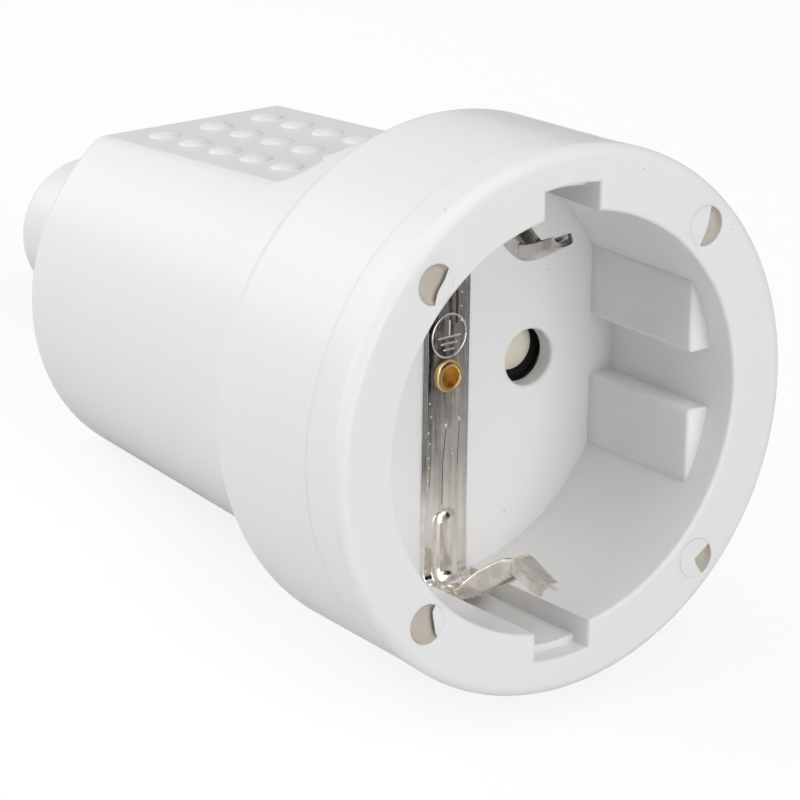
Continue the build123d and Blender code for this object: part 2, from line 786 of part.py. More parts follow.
clamp_screws = []
for name, place in (("left", -clamp_screw_offset), ("right", clamp_screw_offset)):
    with BuildPart() as clamp_screw:
        clamp_top = saddle_gap + clamp_height
        with BuildSketch(Plane.XY.offset(clamp_top)):
            with Locations((place, saddle_start + saddle_length / 2)):
                Circle(clamp_screw_dia / 2)
        extrude(amount=-clamp_screw_length + 0.4)
        with BuildSketch(Plane.XY.offset(clamp_top)):
            with Locations((place, saddle_start + saddle_length / 2)):
                Circle(clamp_head_dia / 2)
        extrude(amount=clamp_head)
        with BuildSketch(Plane.XY.offset(clamp_top + clamp_head)):
            with Locations((place, saddle_start + saddle_length / 2)):
                Rectangle(clamp_head_dia, screw_slot)
        extrude(amount=-clamp_head / 2, mode=Mode.SUBTRACT)
    clamp_screw.part.label = f"{name}_clamp_screw"
    clamp_screws.append(clamp_screw.part)

# The connector lies on its shoulder and on the rear edge of the lower grip flat.
# The line that touches both gives the angle: it is tangent to the shoulder's quarter ellipse.
tail_height = grip_front_height - grip_fall * (body_end - grip_start)
touch = 0.0
for _ in range(8):
    touch_depth = collar_length + shoulder_length * sin(touch)
    touch_height = body_front_radius + shoulder_height * cos(touch)
    lie = atan((touch_height - tail_height) / (body_end - touch_depth))
    touch = atan(tan(lie) * shoulder_length / shoulder_height)
lie_angle = degrees(lie)

os.makedirs("parts", exist_ok=True)
pieces = [
    socket_front.part,
    grip_shell.part,
    cable_sleeve.part,
    earth_strap.part,
    centre_rivet.part,
    turned(shutter.part, Axis.Y, -shutter_rest_turn),
    turned(shutter_spring.part, Axis.Y, -shutter_rest_turn),
    contact_carrier.part,
    *contacts,
    *springs,
    *terminal_screws,
    earth_terminal.part,
    earth_terminal_screw.part,
    *carrier_screws,
    cord_clamp.part,
    *clamp_screws,
]
for piece in pieces:
    export_step(turned(piece, Axis.X, -lie_angle), f"parts/{piece.label}.step")
print("lies at", round(lie_angle, 3), "degrees")
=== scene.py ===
"""Look of the inline socket connector: white moulded socket front, grip shell and cable sleeve,
nickel-plated earth strap with its two spring clips, brass rivet and ivory shutter pads."""

import json
import math

import bmesh
import bpy
import numpy as np
from mathutils import Matrix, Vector
from mathutils.geometry import delaunay_2d_cdt


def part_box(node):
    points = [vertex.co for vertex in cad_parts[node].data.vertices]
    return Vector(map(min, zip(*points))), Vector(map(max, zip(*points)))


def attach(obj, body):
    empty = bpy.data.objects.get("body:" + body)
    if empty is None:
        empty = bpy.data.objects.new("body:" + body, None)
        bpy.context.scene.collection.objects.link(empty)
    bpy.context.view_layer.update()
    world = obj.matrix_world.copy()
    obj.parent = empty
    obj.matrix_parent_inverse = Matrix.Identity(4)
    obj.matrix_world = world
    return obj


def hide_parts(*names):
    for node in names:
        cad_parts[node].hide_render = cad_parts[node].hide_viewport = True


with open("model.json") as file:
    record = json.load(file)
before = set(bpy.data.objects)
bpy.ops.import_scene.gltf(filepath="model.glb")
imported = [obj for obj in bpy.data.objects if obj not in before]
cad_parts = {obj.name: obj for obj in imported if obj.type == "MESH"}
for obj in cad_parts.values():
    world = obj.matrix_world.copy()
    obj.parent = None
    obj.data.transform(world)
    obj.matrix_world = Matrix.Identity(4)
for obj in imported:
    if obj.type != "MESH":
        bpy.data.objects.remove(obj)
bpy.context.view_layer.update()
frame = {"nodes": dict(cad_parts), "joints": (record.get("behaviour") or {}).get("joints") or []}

# The socket's own straight frame: millimetres, +Y from the ring's face to the cable end, +Z up.
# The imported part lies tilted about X, and the shutter's axis says by how much.
turn_axis = frame["joints"][0]["axis"]
LIE = math.atan2(turn_axis[2], -turn_axis[1])
LIE_COS, LIE_SIN = math.cos(LIE), math.sin(LIE)


def lay(points):
    """Straight frame in millimetres to the row frame in metres: a turn about X by the lying angle."""
    p = np.asarray(points, float).reshape(-1, 3)
    y = p[:, 1] * LIE_COS + p[:, 2] * LIE_SIN
    z = -p[:, 1] * LIE_SIN + p[:, 2] * LIE_COS
    return np.column_stack([p[:, 0], y, z]) * 0.001


class Skin:
    """The surfaces of one piece, collected as numpy grids and plates in the straight frame."""

    def __init__(self):
        self.points = []
        self.quads = []
        self.triangles = []
        self.count = 0

    def _take(self, points):
        """Adds points and returns the number of the first one."""
        first = self.count
        self.points.append(points)
        self.count += len(points)
        return first

    def grid(self, table, wrap=False, flip=False):
        """Quads over a table of points (rows, columns, 3); wrap closes each row on itself."""
        rows, columns = table.shape[:2]
        first = self._take(table.reshape(-1, 3))
        last = columns if wrap else columns - 1
        i, j = np.meshgrid(np.arange(rows - 1), np.arange(last), indexing="ij")
        k = (j + 1) % columns
        corners = [i * columns + j, i * columns + k, (i + 1) * columns + k, (i + 1) * columns + j]
        faces = first + np.stack(corners, -1).reshape(-1, 4)
        self.quads.append(faces[:, ::-1] if flip else faces)

    def plate(self, loops, depth, flip=False):
        """Flat face at one depth: the first loop is its rim, the others are holes (x, z)."""
        flat = np.vstack(loops)
        edges, start = [], 0
        for loop in loops:
            n = len(loop)
            edges += [(start + a, start + (a + 1) % n) for a in range(n)]
            start += n
        found = delaunay_2d_cdt([tuple(p) for p in flat], edges, [], 1, 1e-7)
        spots = np.array([tuple(v) for v in found[0]])
        faces = np.array([tuple(f) for f in found[2]], int)
        middles = spots[faces].mean(1)
        keep = within(middles, loops[0])
        for hole in loops[1:]:
            keep &= ~within(middles, hole)
        faces = faces[keep]
        points = np.column_stack([spots[:, 0], np.full(len(spots), depth), spots[:, 1]])
        first = self._take(points)
        self.triangles.append(first + (faces[:, ::-1] if flip else faces))

    def revolve(self, profile, n=360, centre=(0.0, 0.0), flip=False):
        """Turns a profile of (radius, depth) pairs about an axis along Y through centre (x, z)."""
        profile = np.asarray(profile, float)
        turn = np.arange(n) * (2 * np.pi / n)
        r, y = profile[:, 0][:, None], profile[:, 1][:, None]
        x = centre[0] + r * np.cos(turn)[None]
        z = centre[1] + r * np.sin(turn)[None]
        self.grid(np.stack([x, np.broadcast_to(y, x.shape), z], -1), wrap=True, flip=flip)

    def turn_over(self):
        """A copy of all faces so far, turned half round the Y axis: x and z change sign."""
        points = np.vstack(self.points) * np.array([-1.0, 1.0, -1.0])
        quads = [q.copy() for q in self.quads]
        triangles = [t.copy() for t in self.triangles]
        first = self._take(points)
        self.quads += [first + q for q in quads]
        self.triangles += [first + t for t in triangles]

    def build(self, name, body, material, stands_for=(), sharp=32.0, weld=2e-7):
        """Makes the mesh object, welds its seams, smooths it up to the sharp angle and rides it."""
        quads = np.vstack(self.quads) if self.quads else np.zeros((0, 4), int)
        triangles = np.vstack(self.triangles) if self.triangles else np.zeros((0, 3), int)
        points = lay(np.vstack(self.points))
        mesh = bpy.data.meshes.new(name)
        mesh.vertices.add(len(points))
        mesh.vertices.foreach_set("co", points.ravel())
        mesh.loops.add(quads.size + triangles.size)
        mesh.loops.foreach_set("vertex_index", np.concatenate([quads.ravel(), triangles.ravel()]))
        mesh.polygons.add(len(quads) + len(triangles))
        starts = np.concatenate(
            [np.arange(len(quads)) * 4, quads.size + np.arange(len(triangles)) * 3]
        )
        mesh.polygons.foreach_set("loop_start", starts)
        mesh.update(calc_edges=True)
        mesh.validate()
        work = bmesh.new()
        work.from_mesh(mesh)
        bmesh.ops.remove_doubles(work, verts=work.verts, dist=weld)
        bmesh.ops.dissolve_degenerate(work, edges=work.edges, dist=1e-8)
        work.to_mesh(mesh)
        work.free()
        mesh.shade_smooth()
        mesh.set_sharp_from_angle(angle=math.radians(sharp))
        piece = bpy.data.objects.new(name, mesh)
        bpy.context.scene.collection.objects.link(piece)
        weighted = piece.modifiers.new("even_normals", "WEIGHTED_NORMAL")
        weighted.mode = "FACE_AREA_WITH_ANGLE"
        weighted.keep_sharp = True
        mesh.materials.append(material)
        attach(piece, body)
        if stands_for:
            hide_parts(*stands_for)
        return piece


def within(points, loop):
    """Which points lie inside a closed loop: a ray to +x crosses its edges an odd number of times."""
    a, b = np.asarray(loop), np.roll(np.asarray(loop), -1, axis=0)
    px, py = points[:, 0][:, None], points[:, 1][:, None]
    spans = (a[:, 1] > py) != (b[:, 1] > py)
    rise = np.where(b[:, 1] == a[:, 1], 1.0, b[:, 1] - a[:, 1])
    cross = a[:, 0] + (py - a[:, 1]) * (b[:, 0] - a[:, 0]) / rise
    return (spans & (px < cross)).sum(1) % 2 == 1


def arc(centre, radius, start, end, n):
    """Points (x, z) on a circle from one angle to another, in degrees."""
    a = np.radians(np.linspace(start, end, n))
    return np.column_stack([centre[0] + radius * np.cos(a), centre[1] + radius * np.sin(a)])


def fillet_steps(n):
    """Pairs (sine, one minus cosine) of a quarter turn in n steps."""
    a = np.linspace(0, np.pi / 2, n + 1)
    return np.sin(a), 1 - np.cos(a)


# Sizes in millimetres: the part's own, apart from the ring and pin holes, which follow the photograph
RECESS_R, RECESS_DEPTH, MOUTH_EDGE = 19.5, 17.5, 0.4
RING_R, RING_EDGE, RIM_END, RIM_R, SEAM = 25.5, 1.2, 5.0, 25.254, 0.03
COLLAR_END, COLLAR_R, SHOULDER, SHOULDER_FOOT = 18.3, 24.8, 2.9, 0.4
BODY_FRONT_R, BODY_REAR_R, BODY_END, BODY_EDGE = 20.9, 18.55, 59.4, 1.0
SLEEVE_HOLE_R, SLEEVE_HOLE_EDGE, REAR_WALL = 7.47, 0.25, 2.4
NOTCH_HALF, NOTCH_R = 3.1, 22.1
KEY_REACH, KEY_X, KEY_START = 19.75, 16.9, 3.3
KEY_GROOVE, KEY_CORNER, KEY_EDGE = 2.75, 0.55, 0.35
HOLE_RING_R, HOLE_R, HOLE_EDGE, HOLE_FLOOR, INSERT_DEPTH = 22.4, 1.85, 0.15, 0.5, 0.06
PIN_X, ENTRY_R, ENTRY_EDGE, FLOOR_BACK = 9.62, 2.7, 0.42, 19.3
SPIGOT_R, SPIGOT_INNER_R, SPIGOT_END, CUP_R, CUP_START = 23.3, 22.3, 8.0, 21.4, 2.2
CHAMBER_R, CHAMBER_OUTER_R, CHAMBER_END, PIVOT_R, PIVOT_BORE_R = 16.6, 18.2, 22.3, 3.0, 1.3
GRIP_START, GRIP_HEIGHT, GRIP_FALL, GRIP_HALF, GRIP_CORNER = 27.8, 17.37, 0.068, 7.5, 3.7
PAD_R, PAD_RISE, PAD_FRONT = 2.35, 0.5, 20.2
SHADE_R, SHADE_DEPTH = 3.7, 20.3

# Middles (x, z) of the shutter's pads, and of the ring's holes, upper right first, then anticlockwise
PAD_PLACES = ((9.48, 0.56), (-9.48, -0.56))
RING_HOLES = np.array([(15.5, 15.9), (-15.17, 15.6), (-15.49, -15.54), (15.65, -15.85)])


def recess_outline(grow=0.0):
    """Mouth of the recess (x, z), anticlockwise from the front: a circle with a notch above and below.
    Grown outwards by an offset on the exact circles and lines, so its points keep their order."""
    r, w, reach = RECESS_R + grow, NOTCH_HALF + grow, NOTCH_R + grow
    low, high = math.degrees(math.acos(w / r)), math.degrees(math.acos(w / reach))
    z_low, z_high = math.sqrt(r * r - w * w), math.sqrt(reach * reach - w * w)
    side = np.linspace(0, 1, 6)[1:-1, None]
    parts = []
    for turn in (0, 180):
        right = arc((0, 0), r, -low, low, 241)
        up = np.array([w, z_low]) + side * np.array([0, z_high - z_low])
        top = arc((0, 0), reach, high, 180 - high, 21)
        down = np.array([-w, z_high]) - side * np.array([0, z_high - z_low])
        half = np.vstack([right, up, top, down])
        parts.append(half if turn == 0 else -half)
    return np.vstack(parts)


def key_outline(grow):
    """Outline (x, z) of one lobe of a side key, upper right: chord, groove wall and the recess wall."""
    chord, groove, corner = KEY_X + grow, KEY_GROOVE + grow, KEY_CORNER - 0.6 * grow
    start = math.degrees(math.asin(groove / KEY_REACH))
    end = math.degrees(math.acos(chord / KEY_REACH))
    wall = arc((0, 0), KEY_REACH, start, end, 24)
    face = np.column_stack(
        [np.full(14, chord), np.linspace(wall[-1, 1], groove + corner, 15)[1:]]
    )
    round_corner = arc((chord + corner, groove + corner), corner, 180, 270, 9)[1:]
    return np.vstack([wall, face, round_corner])


def loop_wall(loop_of, steps, centre=(0.0, 0.0), mirror=(1, 1)):
    """Strip along a loop: loop_of(grow) gives its points, steps are (grow, depth) pairs."""
    rows = []
    for grow, depth in steps:
        loop = loop_of(grow) * np.array(mirror) + np.array(centre)
        rows.append(np.column_stack([loop[:, 0], np.full(len(loop), depth), loop[:, 1]]))
    return np.stack(rows)


def rounded_steps(edge, start, end, n=7):
    """Steps (grow, depth) of a wall with a rounded front edge, from (edge, start) to (0, end)."""
    s, c = fillet_steps(n)
    return [(edge * (1 - a), start + edge * b) for a, b in zip(s, c)] + [(0.0, end)]


def circle(centre, radius, n):
    """Points (x, z) of a closed circle, each once."""
    return arc(centre, radius, 0, 360, n + 1)[:-1]


def growing_circle(radius, n):
    """A circle about the middle whose radius grows by an offset."""
    return lambda grow: circle((0, 0), radius + grow, n)


def make_socket_front(material):
    """Front piece: ring with its rounded edges and four holes, recess wall with notches, keys, floor."""
    skin = Skin()
    # Front face and the ring's outer edge
    rim = circle((0, 0), RING_R - RING_EDGE, 360)
    holes = [circle(place, HOLE_R + HOLE_EDGE, 60) for place in RING_HOLES]
    skin.plate([rim, recess_outline(MOUTH_EDGE), *holes], 0.0)
    s, c = fillet_steps(10)
    edge = [(RING_R - RING_EDGE + RING_EDGE * a, RING_EDGE * b) for a, b in zip(s, c)]
    side = [(RIM_R, RIM_END - SEAM)] + [(RIM_R - drop, RIM_END) for drop in (0.02, 0.2, 1.9)]
    skin.revolve(edge + side, flip=True)
    # Recess wall, and its floor with the two pin holes
    skin.grid(loop_wall(recess_outline, rounded_steps(MOUTH_EDGE, 0.0, RECESS_DEPTH)), wrap=True)
    entries = [circle((x, 0), ENTRY_R + ENTRY_EDGE, 64) for x in (-PIN_X, PIN_X)]
    skin.plate([recess_outline(), *entries], RECESS_DEPTH)
    for x in (-PIN_X, PIN_X):
        steps = rounded_steps(ENTRY_EDGE, RECESS_DEPTH, FLOOR_BACK, n=5)
        skin.grid(loop_wall(growing_circle(ENTRY_R, 64), steps, centre=(x, 0)), wrap=True)
    # Side keys, two lobes on each side
    for mirror in ((1, 1), (-1, 1), (-1, -1), (1, -1)):
        flip = mirror[0] * mirror[1] > 0
        steps = rounded_steps(KEY_EDGE, KEY_START, RECESS_DEPTH + 0.1, n=6)
        skin.grid(loop_wall(key_outline, steps, mirror=mirror), wrap=True, flip=flip)
        top = key_outline(KEY_EDGE) * np.array(mirror)
        skin.plate([top if flip else top[::-1]], KEY_START)
    # Walls of the ring's holes
    for place in RING_HOLES:
        steps = rounded_steps(HOLE_EDGE, 0.0, HOLE_FLOOR, n=4)
        skin.grid(loop_wall(growing_circle(HOLE_R, 60), steps, centre=place), wrap=True)
    # Back: the shutter's chamber with its pivot, the cup round the recess, and the spigot
    back_holes = [circle((x, 0), ENTRY_R, 64) for x in (-PIN_X, PIN_X)]
    chamber, pivot = circle((0, 0), CHAMBER_R, 120), circle((0, 0), PIVOT_R, 48)
    skin.plate([chamber, pivot, *back_holes], FLOOR_BACK, flip=True)
    boss = [(PIVOT_R, FLOOR_BACK), (PIVOT_R, CHAMBER_END), (PIVOT_BORE_R, CHAMBER_END)]
    skin.revolve(boss, n=48, flip=True)
    back = [(SPIGOT_R, RIM_END), (SPIGOT_R, SPIGOT_END), (SPIGOT_INNER_R, SPIGOT_END)]
    back += [(SPIGOT_INNER_R, CUP_START), (CUP_R, CUP_START), (CUP_R, FLOOR_BACK)]
    back += [(CHAMBER_OUTER_R, FLOOR_BACK), (CHAMBER_OUTER_R, CHAMBER_END)]
    back += [(CHAMBER_R, CHAMBER_END), (CHAMBER_R, FLOOR_BACK)]
    skin.revolve(back, n=120, flip=True)
    return skin.build("socket_front_moulding", "housing", material, ["socket_front"])


def body_radius(depth):
    """Outer radius of the grip shell's turned form: collar, quarter-ellipse shoulder, tapered body."""
    depth = np.asarray(depth, float)
    collar = RIM_R + (COLLAR_R - RIM_R) * (depth - RIM_END) / (COLLAR_END - RIM_END)
    t = np.clip((depth - COLLAR_END) / SHOULDER, 0, 1)
    shoulder = BODY_FRONT_R + (COLLAR_R - BODY_FRONT_R) * np.sqrt(1 - t * t)
    end = COLLAR_END + SHOULDER
    cone = BODY_FRONT_R - (BODY_FRONT_R - BODY_REAR_R) * (depth - end) / (BODY_END - end)
    return np.where(depth < COLLAR_END, collar, np.where(depth < end, shoulder, cone))


def grip_height(depth):
    """Height of the upper grip flat at a depth: it falls evenly towards the cable end."""
    return GRIP_HEIGHT - GRIP_FALL * (np.asarray(depth, float) - GRIP_START)


def bunched(n, share):
    """Values from -1 to 1 in n steps: a share of them spaced as a sine, closer at both ends."""
    close = np.sin(np.linspace(-np.pi / 2, np.pi / 2, n + 1))
    return share * close + (1 - share) * np.linspace(-1, 1, n + 1)


def make_grip_shell(material):
    """Grip shell as one grid: each row runs round the body, and its columns keep to the edges of the
    two flats. Rows come close together at the shoulder, the flats' end walls and the rear edge."""
    soft, wall_top, wall_foot, wall_lean = 0.5, 0.3, 0.45, 0.02
    xi, eta = bunched(72, 0.65), bunched(96, 0.35)
    front_r = float(body_radius(GRIP_START))
    crease_start = math.sqrt(front_r**2 - GRIP_HEIGHT**2)

    def crease(depth):
        """Half width of the flat where its plane meets the body."""
        r = body_radius(depth)
        inside = np.sqrt(np.maximum(r**2 - grip_height(depth) ** 2, 1.0))
        return np.where(depth > GRIP_START, inside, r * crease_start / front_r)

    def rounding(gap):
        """How far the crease is rounded off at a distance from it: 0.6 (soft - gap)^2."""
        return 0.6 * np.maximum(soft - gap, 0) ** 2

    def row(depth, radius, cut, inset=0.0):
        """One row; depth, radius and cut (0 to 1 from body to flat) are per flat column, or one value."""
        depth = np.broadcast_to(np.asarray(depth, float), xi.shape)
        half = crease(depth) * radius / body_radius(depth)
        x = xi[::-1] * half
        full = np.sqrt(np.maximum(radius**2 - x**2, 0))
        low = np.minimum(grip_height(depth), full)
        z = full + (low - full) * cut - rounding(half - np.abs(x)) * cut
        lean = np.abs(xi[::-1]) ** 8 * 0.5
        x_in, z_in = np.sign(x) * lean * inset, np.sqrt(1 - lean**2) * inset
        top = np.column_stack([x - x_in, depth, z - z_in])
        r = float(np.broadcast_to(radius, xi.shape)[0])
        edge_cut = float(np.broadcast_to(cut, xi.shape)[0])
        angle = math.atan2(math.sqrt(max(r**2 - float(half[0]) ** 2, 0)), float(half[0]))
        turn = eta * angle
        drop = np.sign(turn) * rounding((angle - np.abs(turn)) * r) * edge_cut
        side_x, side_z = (r - inset) * np.cos(turn), (r - inset) * np.sin(turn) - drop
        right = np.column_stack([side_x, np.full(len(turn), depth[0]), side_z])
        half_turn = np.vstack([right[1:-1], top])
        return np.vstack([half_turn, half_turn * np.array([-1.0, 1.0, -1.0])])

    rows = []
    for depth, drop in ((RIM_END, SEAM), (RIM_END + 0.01, 0.01), (RIM_END + SEAM, 0.0)):
        rows.append(row(depth, float(body_radius(RIM_END + SEAM)) - drop, 0.0))
    for depth in np.linspace(RIM_END + 0.3, COLLAR_END, 16):
        rows.append(row(depth, float(body_radius(depth)), 0.0))
    shoulder_end, step = COLLAR_END + SHOULDER, COLLAR_R - BODY_FRONT_R
    for t in np.linspace(0, math.acos(SHOULDER_FOOT / step), 19)[1:]:
        rows.append(row(COLLAR_END + SHOULDER * math.sin(t), BODY_FRONT_R + step * math.cos(t), 0.0))

    x_start = np.abs(xi[::-1]) * crease_start
    over = np.clip(x_start - GRIP_HALF, 0, GRIP_CORNER - 1e-6)
    wall = GRIP_START + GRIP_CORNER - np.sqrt(GRIP_CORNER**2 - over**2)
    for t in np.linspace(0, 1, 19)[1:] ** 1.4:
        depth = shoulder_end + t * (wall - wall_top - shoulder_end)
        foot = SHOULDER_FOOT * np.clip(1 - (depth - shoulder_end) / 1.6, 0, 1) ** 2
        rows.append(row(depth, body_radius(depth) + foot, 0.0))

    # The end wall of the flat: rounded at its top, nearly upright, and rounded at its foot
    height = np.sqrt(np.maximum(body_radius(wall) ** 2 - x_start**2, 0)) - grip_height(wall)
    height = np.maximum(height, 1e-3)
    top_share, foot_share = (np.minimum(size / height, 0.45) for size in (wall_top, wall_foot))
    s, c = fillet_steps(6)
    for a, b in zip(s[1:], c[1:]):
        depth = wall - wall_top + wall_top * a
        rows.append(row(depth, body_radius(depth), top_share * b))
    for t in np.linspace(0, 1, 7)[1:-1]:
        depth = wall + wall_lean * t
        rows.append(row(depth, body_radius(depth), top_share + (1 - foot_share - top_share) * t))
    for a, b in zip(s, c):
        depth = wall + wall_lean + wall_foot * b
        rows.append(row(depth, body_radius(depth), 1 - foot_share * (1 - a)))

    start, last = wall + wall_lean + wall_foot, BODY_END - BODY_EDGE
    for t in np.linspace(0, 1, 30)[1:]:
        depth = start + t * (last - start)
        rows.append(row(depth, body_radius(depth), 1.0))
    s, c = fillet_steps(8)
    for a, b in zip(s[1:], c[1:]):
        edge = row(last, body_radius(last), 1.0, inset=BODY_EDGE * b)
        edge[:, 1] = last + BODY_EDGE * a
        rows.append(edge)

    rim = rows[-1]
    angle = np.arctan2(rim[:, 2], rim[:, 0])
    ray = np.column_stack([np.cos(angle), np.zeros(len(angle)), np.sin(angle)])
    for t in (0.45, 0.9, 1.0):
        flat = rim * (1 - t) + ray * (SLEEVE_HOLE_R + SLEEVE_HOLE_EDGE) * t
        flat[:, 1] = BODY_END
        rows.append(flat)
    for a, b in zip(*fillet_steps(4)):
        ring = ray * (SLEEVE_HOLE_R + SLEEVE_HOLE_EDGE * (1 - a))
        ring[:, 1] = BODY_END - SLEEVE_HOLE_EDGE * b
        rows.append(ring)
    deep = rows[-1].copy()
    deep[:, 1] = BODY_END - REAR_WALL
    rows.append(deep)
    skin = Skin()
    skin.grid(np.stack(rows), wrap=True, flip=True)
    return skin.build(
        "grip_shell_moulding", "housing", material, ["grip_shell"], sharp=40.0
    )


def make_studs(material):
    """Thirty low domed studs, five rows of three on each grip flat: up = 0.44 (1 - (r / 1.6)^2)^0.6."""
    radius, rise, first, pitch, apart = 1.6, 0.44, 6.7, 5.0, 6.0
    skin = Skin()
    share = np.cos(np.linspace(0, np.pi / 2, 12))
    profile = np.column_stack([radius * share, rise * np.sqrt(1 - share**2) ** 1.2])
    profile = np.vstack([[radius + 0.02, -0.15], profile[:-1], [0.0005, rise]])
    r, up = profile[:, 0][:, None], profile[:, 1][:, None]
    turn = np.arange(40) * (2 * np.pi / 40)
    across, along = r * np.cos(turn), r * np.sin(turn)
    lean = math.atan(GRIP_FALL)
    for i in range(5):
        depth = GRIP_START + (first + pitch * i) * math.cos(lean)
        y = depth + along * math.cos(lean) + up * math.sin(lean)
        z = float(grip_height(depth)) - along * math.sin(lean) + up * math.cos(lean)
        for j in (-1, 0, 1):
            skin.grid(np.stack([apart * j + across, y, z], -1), wrap=True)
    skin.turn_over()
    return skin.build("grip_studs", "housing", material, sharp=60.0, weld=1e-9)


def make_cable_sleeve(material):
    """Tapered sleeve with a rounded end, its bore, and the flange behind the shell's rear wall."""
    start, end, radius, taper, bore = 55.2, 79.0, 7.4, 0.3, 4.5
    flange_r, flange_end, edge, mouth = 9.6, 57.0, 1.3, 0.4
    s, c = fillet_steps(10)
    run = end - edge - BODY_END
    profile = [(bore, start), (flange_r, start), (flange_r, flange_end), (radius, flange_end)]
    profile += [(radius - taper * t, BODY_END + run * t) for t in np.linspace(0, 1, 8)]
    profile += [(radius - taper - edge * b, end - edge + edge * a) for a, b in zip(s[1:], c[1:])]
    profile += [(bore + mouth, end)]
    profile += [(bore + mouth * (1 - a), end - mouth * b) for a, b in zip(s, c)]
    profile += [(bore, start)]
    skin = Skin()
    skin.revolve(profile, n=128, flip=True)
    return skin.build("cable_sleeve_tube", "housing", material, ["cable_sleeve"])


def bend_path(corners, radius, n=10, step=0.6):
    """Path (y, z) through corners, each inner one rounded to a radius; straight runs are divided."""
    corners = [np.array(c, float) for c in corners]
    points = [corners[0]]
    for a, b, c in zip(corners[:-2], corners[1:-1], corners[2:]):
        u, v = (a - b) / np.linalg.norm(a - b), (c - b) / np.linalg.norm(c - b)
        half = math.acos(float(np.clip(u @ v, -1, 1))) / 2
        reach = radius / math.tan(half)
        middle = b + (u + v) / np.linalg.norm(u + v) * radius / math.sin(half)
        p, q = b + u * reach - middle, b + v * reach - middle
        sweep = math.atan2(p[0] * q[1] - p[1] * q[0], float(p @ q))
        for t in np.linspace(0, 1, n + 1):
            s, co = math.sin(sweep * t), math.cos(sweep * t)
            points.append(middle + np.array([co * p[0] - s * p[1], s * p[0] + co * p[1]]))
    points.append(corners[-1])
    out = [points[0][None]]
    for a, b in zip(points[:-1], points[1:]):
        gap = float(np.linalg.norm(b - a))
        if gap > 1e-6:
            t = np.linspace(0, 1, int(gap / step) + 2)[1:, None]
            out.append(a + (b - a) * t)
    return np.vstack(out)


def smooth_line(knots, steps=8):
    """Catmull-Rom curve through rows of values: on each span, with t from 0 to 1,
    (2b + (c - a)t + (2a - 5b + 4c - d)t^2 + (3b - a - 3c + d)t^3) / 2."""
    k = np.vstack([2 * knots[0] - knots[1], knots, 2 * knots[-1] - knots[-2]])
    a, b, c, d = (k[i : len(k) - 3 + i, None] for i in range(4))
    t = np.linspace(0, 1, steps, endpoint=False)[None, :, None]
    square, cube = 2 * a - 5 * b + 4 * c - d, 3 * b - a - 3 * c + d
    curve = (2 * b + (c - a) * t + square * t**2 + cube * t**3) / 2
    return np.vstack([curve.reshape(-1, knots.shape[1]), knots[-1:]])


def sweep_strip(path, x, out):
    """Sweeps sections (x, out) along a path (y, z): a point lies out millimetres to the path's right."""
    tangent = np.gradient(path, axis=0)
    tangent /= np.linalg.norm(tangent, axis=1)[:, None]
    y = path[:, 0][:, None] + tangent[:, 1][:, None] * out
    z = path[:, 1][:, None] - tangent[:, 0][:, None] * out
    return np.stack([np.broadcast_to(x, y.shape), y, z], -1)


def rounded_bar(width, thick, edge, n=4):
    """Section (x, out) of a flat bar with rounded long edges."""
    w, t = width / 2 - edge, thick / 2 - edge
    corners = ((w, t, 0), (-w, t, 90), (-w, -t, 180), (w, -t, 270))
    return np.vstack([arc((cx, cz), edge, start, start + 90, n + 1) for cx, cz, start in corners])


def channel_section(n=16):
    """Section of the clip's channel as shares of half width, sheet, arch and wall depth:
    x = half * a + sheet * b and out = -(sheet * c + arch * d + depth * e)."""
    a = np.linspace(0, np.pi, n + 1)
    cos, dip, nil, one = np.cos(a), 1 - np.sin(a) ** 0.8, np.zeros(n + 1), np.ones(n + 1)
    outer = np.column_stack([cos, nil, nil, dip, nil])
    inner = np.column_stack([-cos, cos, one, dip * 0.85, nil])
    right = [(1, -0.25, 0, 0, 1), (1, 0, -0.25, 0, 1)]
    left = [(-1, 0, -0.25, 0, 1), (-1, 0.25, 0, 0, 1)]
    left_inside = [(-1, 0.8, 0, 0, 1), (-1, 1, -0.2, 0, 1)]
    right_inside = [(1, -1, -0.2, 0, 1), (1, -0.8, 0, 0, 1)]
    return np.vstack([right, outer, left, left_inside, inner, right_inside])


STRAP_FRONT, STRAP_THICK, STRAP_WIDTH, STRAP_X = 17.1, 0.7, 5.2, -0.24
STRAP_FOOT, FOOT_END, STRAP_BEND, CLIP_SHEET = 20.05, 13.3, 1.5, 0.42
STRAP_TWIST, TWIST_END, TWIST_FADE = 0.072, 18.0, 6.0

# Bead and clip: y and z of the ridge, wall depth, half width, middle x and arch height
CLIP_LINE = (
    *((16.5, z, 0.90, 1.43, -0.30, 0.60) for z in (-12.6, -13.6, -15.0, -17.0, -18.3)),
    (16.25, -19.0, 0.90, 1.43, -0.30, 0.60),
    (15.6, -19.5, 0.90, 1.42, -0.28, 0.60),
    (14.9, -19.62, 0.85, 1.40, -0.25, 0.60),
    (14.25, -19.4, 0.85, 1.38, -0.22, 0.60),
    (13.6, -18.85, 1.05, 1.36, -0.18, 0.60),
    (13.0, -18.2, 1.45, 1.33, -0.14, 0.60),
    (12.0, -17.3, 1.95, 1.30, -0.08, 0.58),
    (11.1, -16.6, 2.22, 1.27, -0.04, 0.56),
    (9.3, -15.4, 2.22, 1.25, 0.0, 0.55),
    (7.9, -14.6, 2.08, 1.25, 0.0, 0.55),
    (6.6, -14.15, 1.92, 1.25, 0.0, 0.55),
    (5.7, -14.15, 1.75, 1.25, 0.0, 0.55),
    (4.1, -14.8, 1.47, 1.25, 0.0, 0.55),
    (2.6, -15.3, 1.30, 1.24, 0.0, 0.54),
    (1.8, -15.57, 1.22, 1.20, 0.0, 0.52),
)


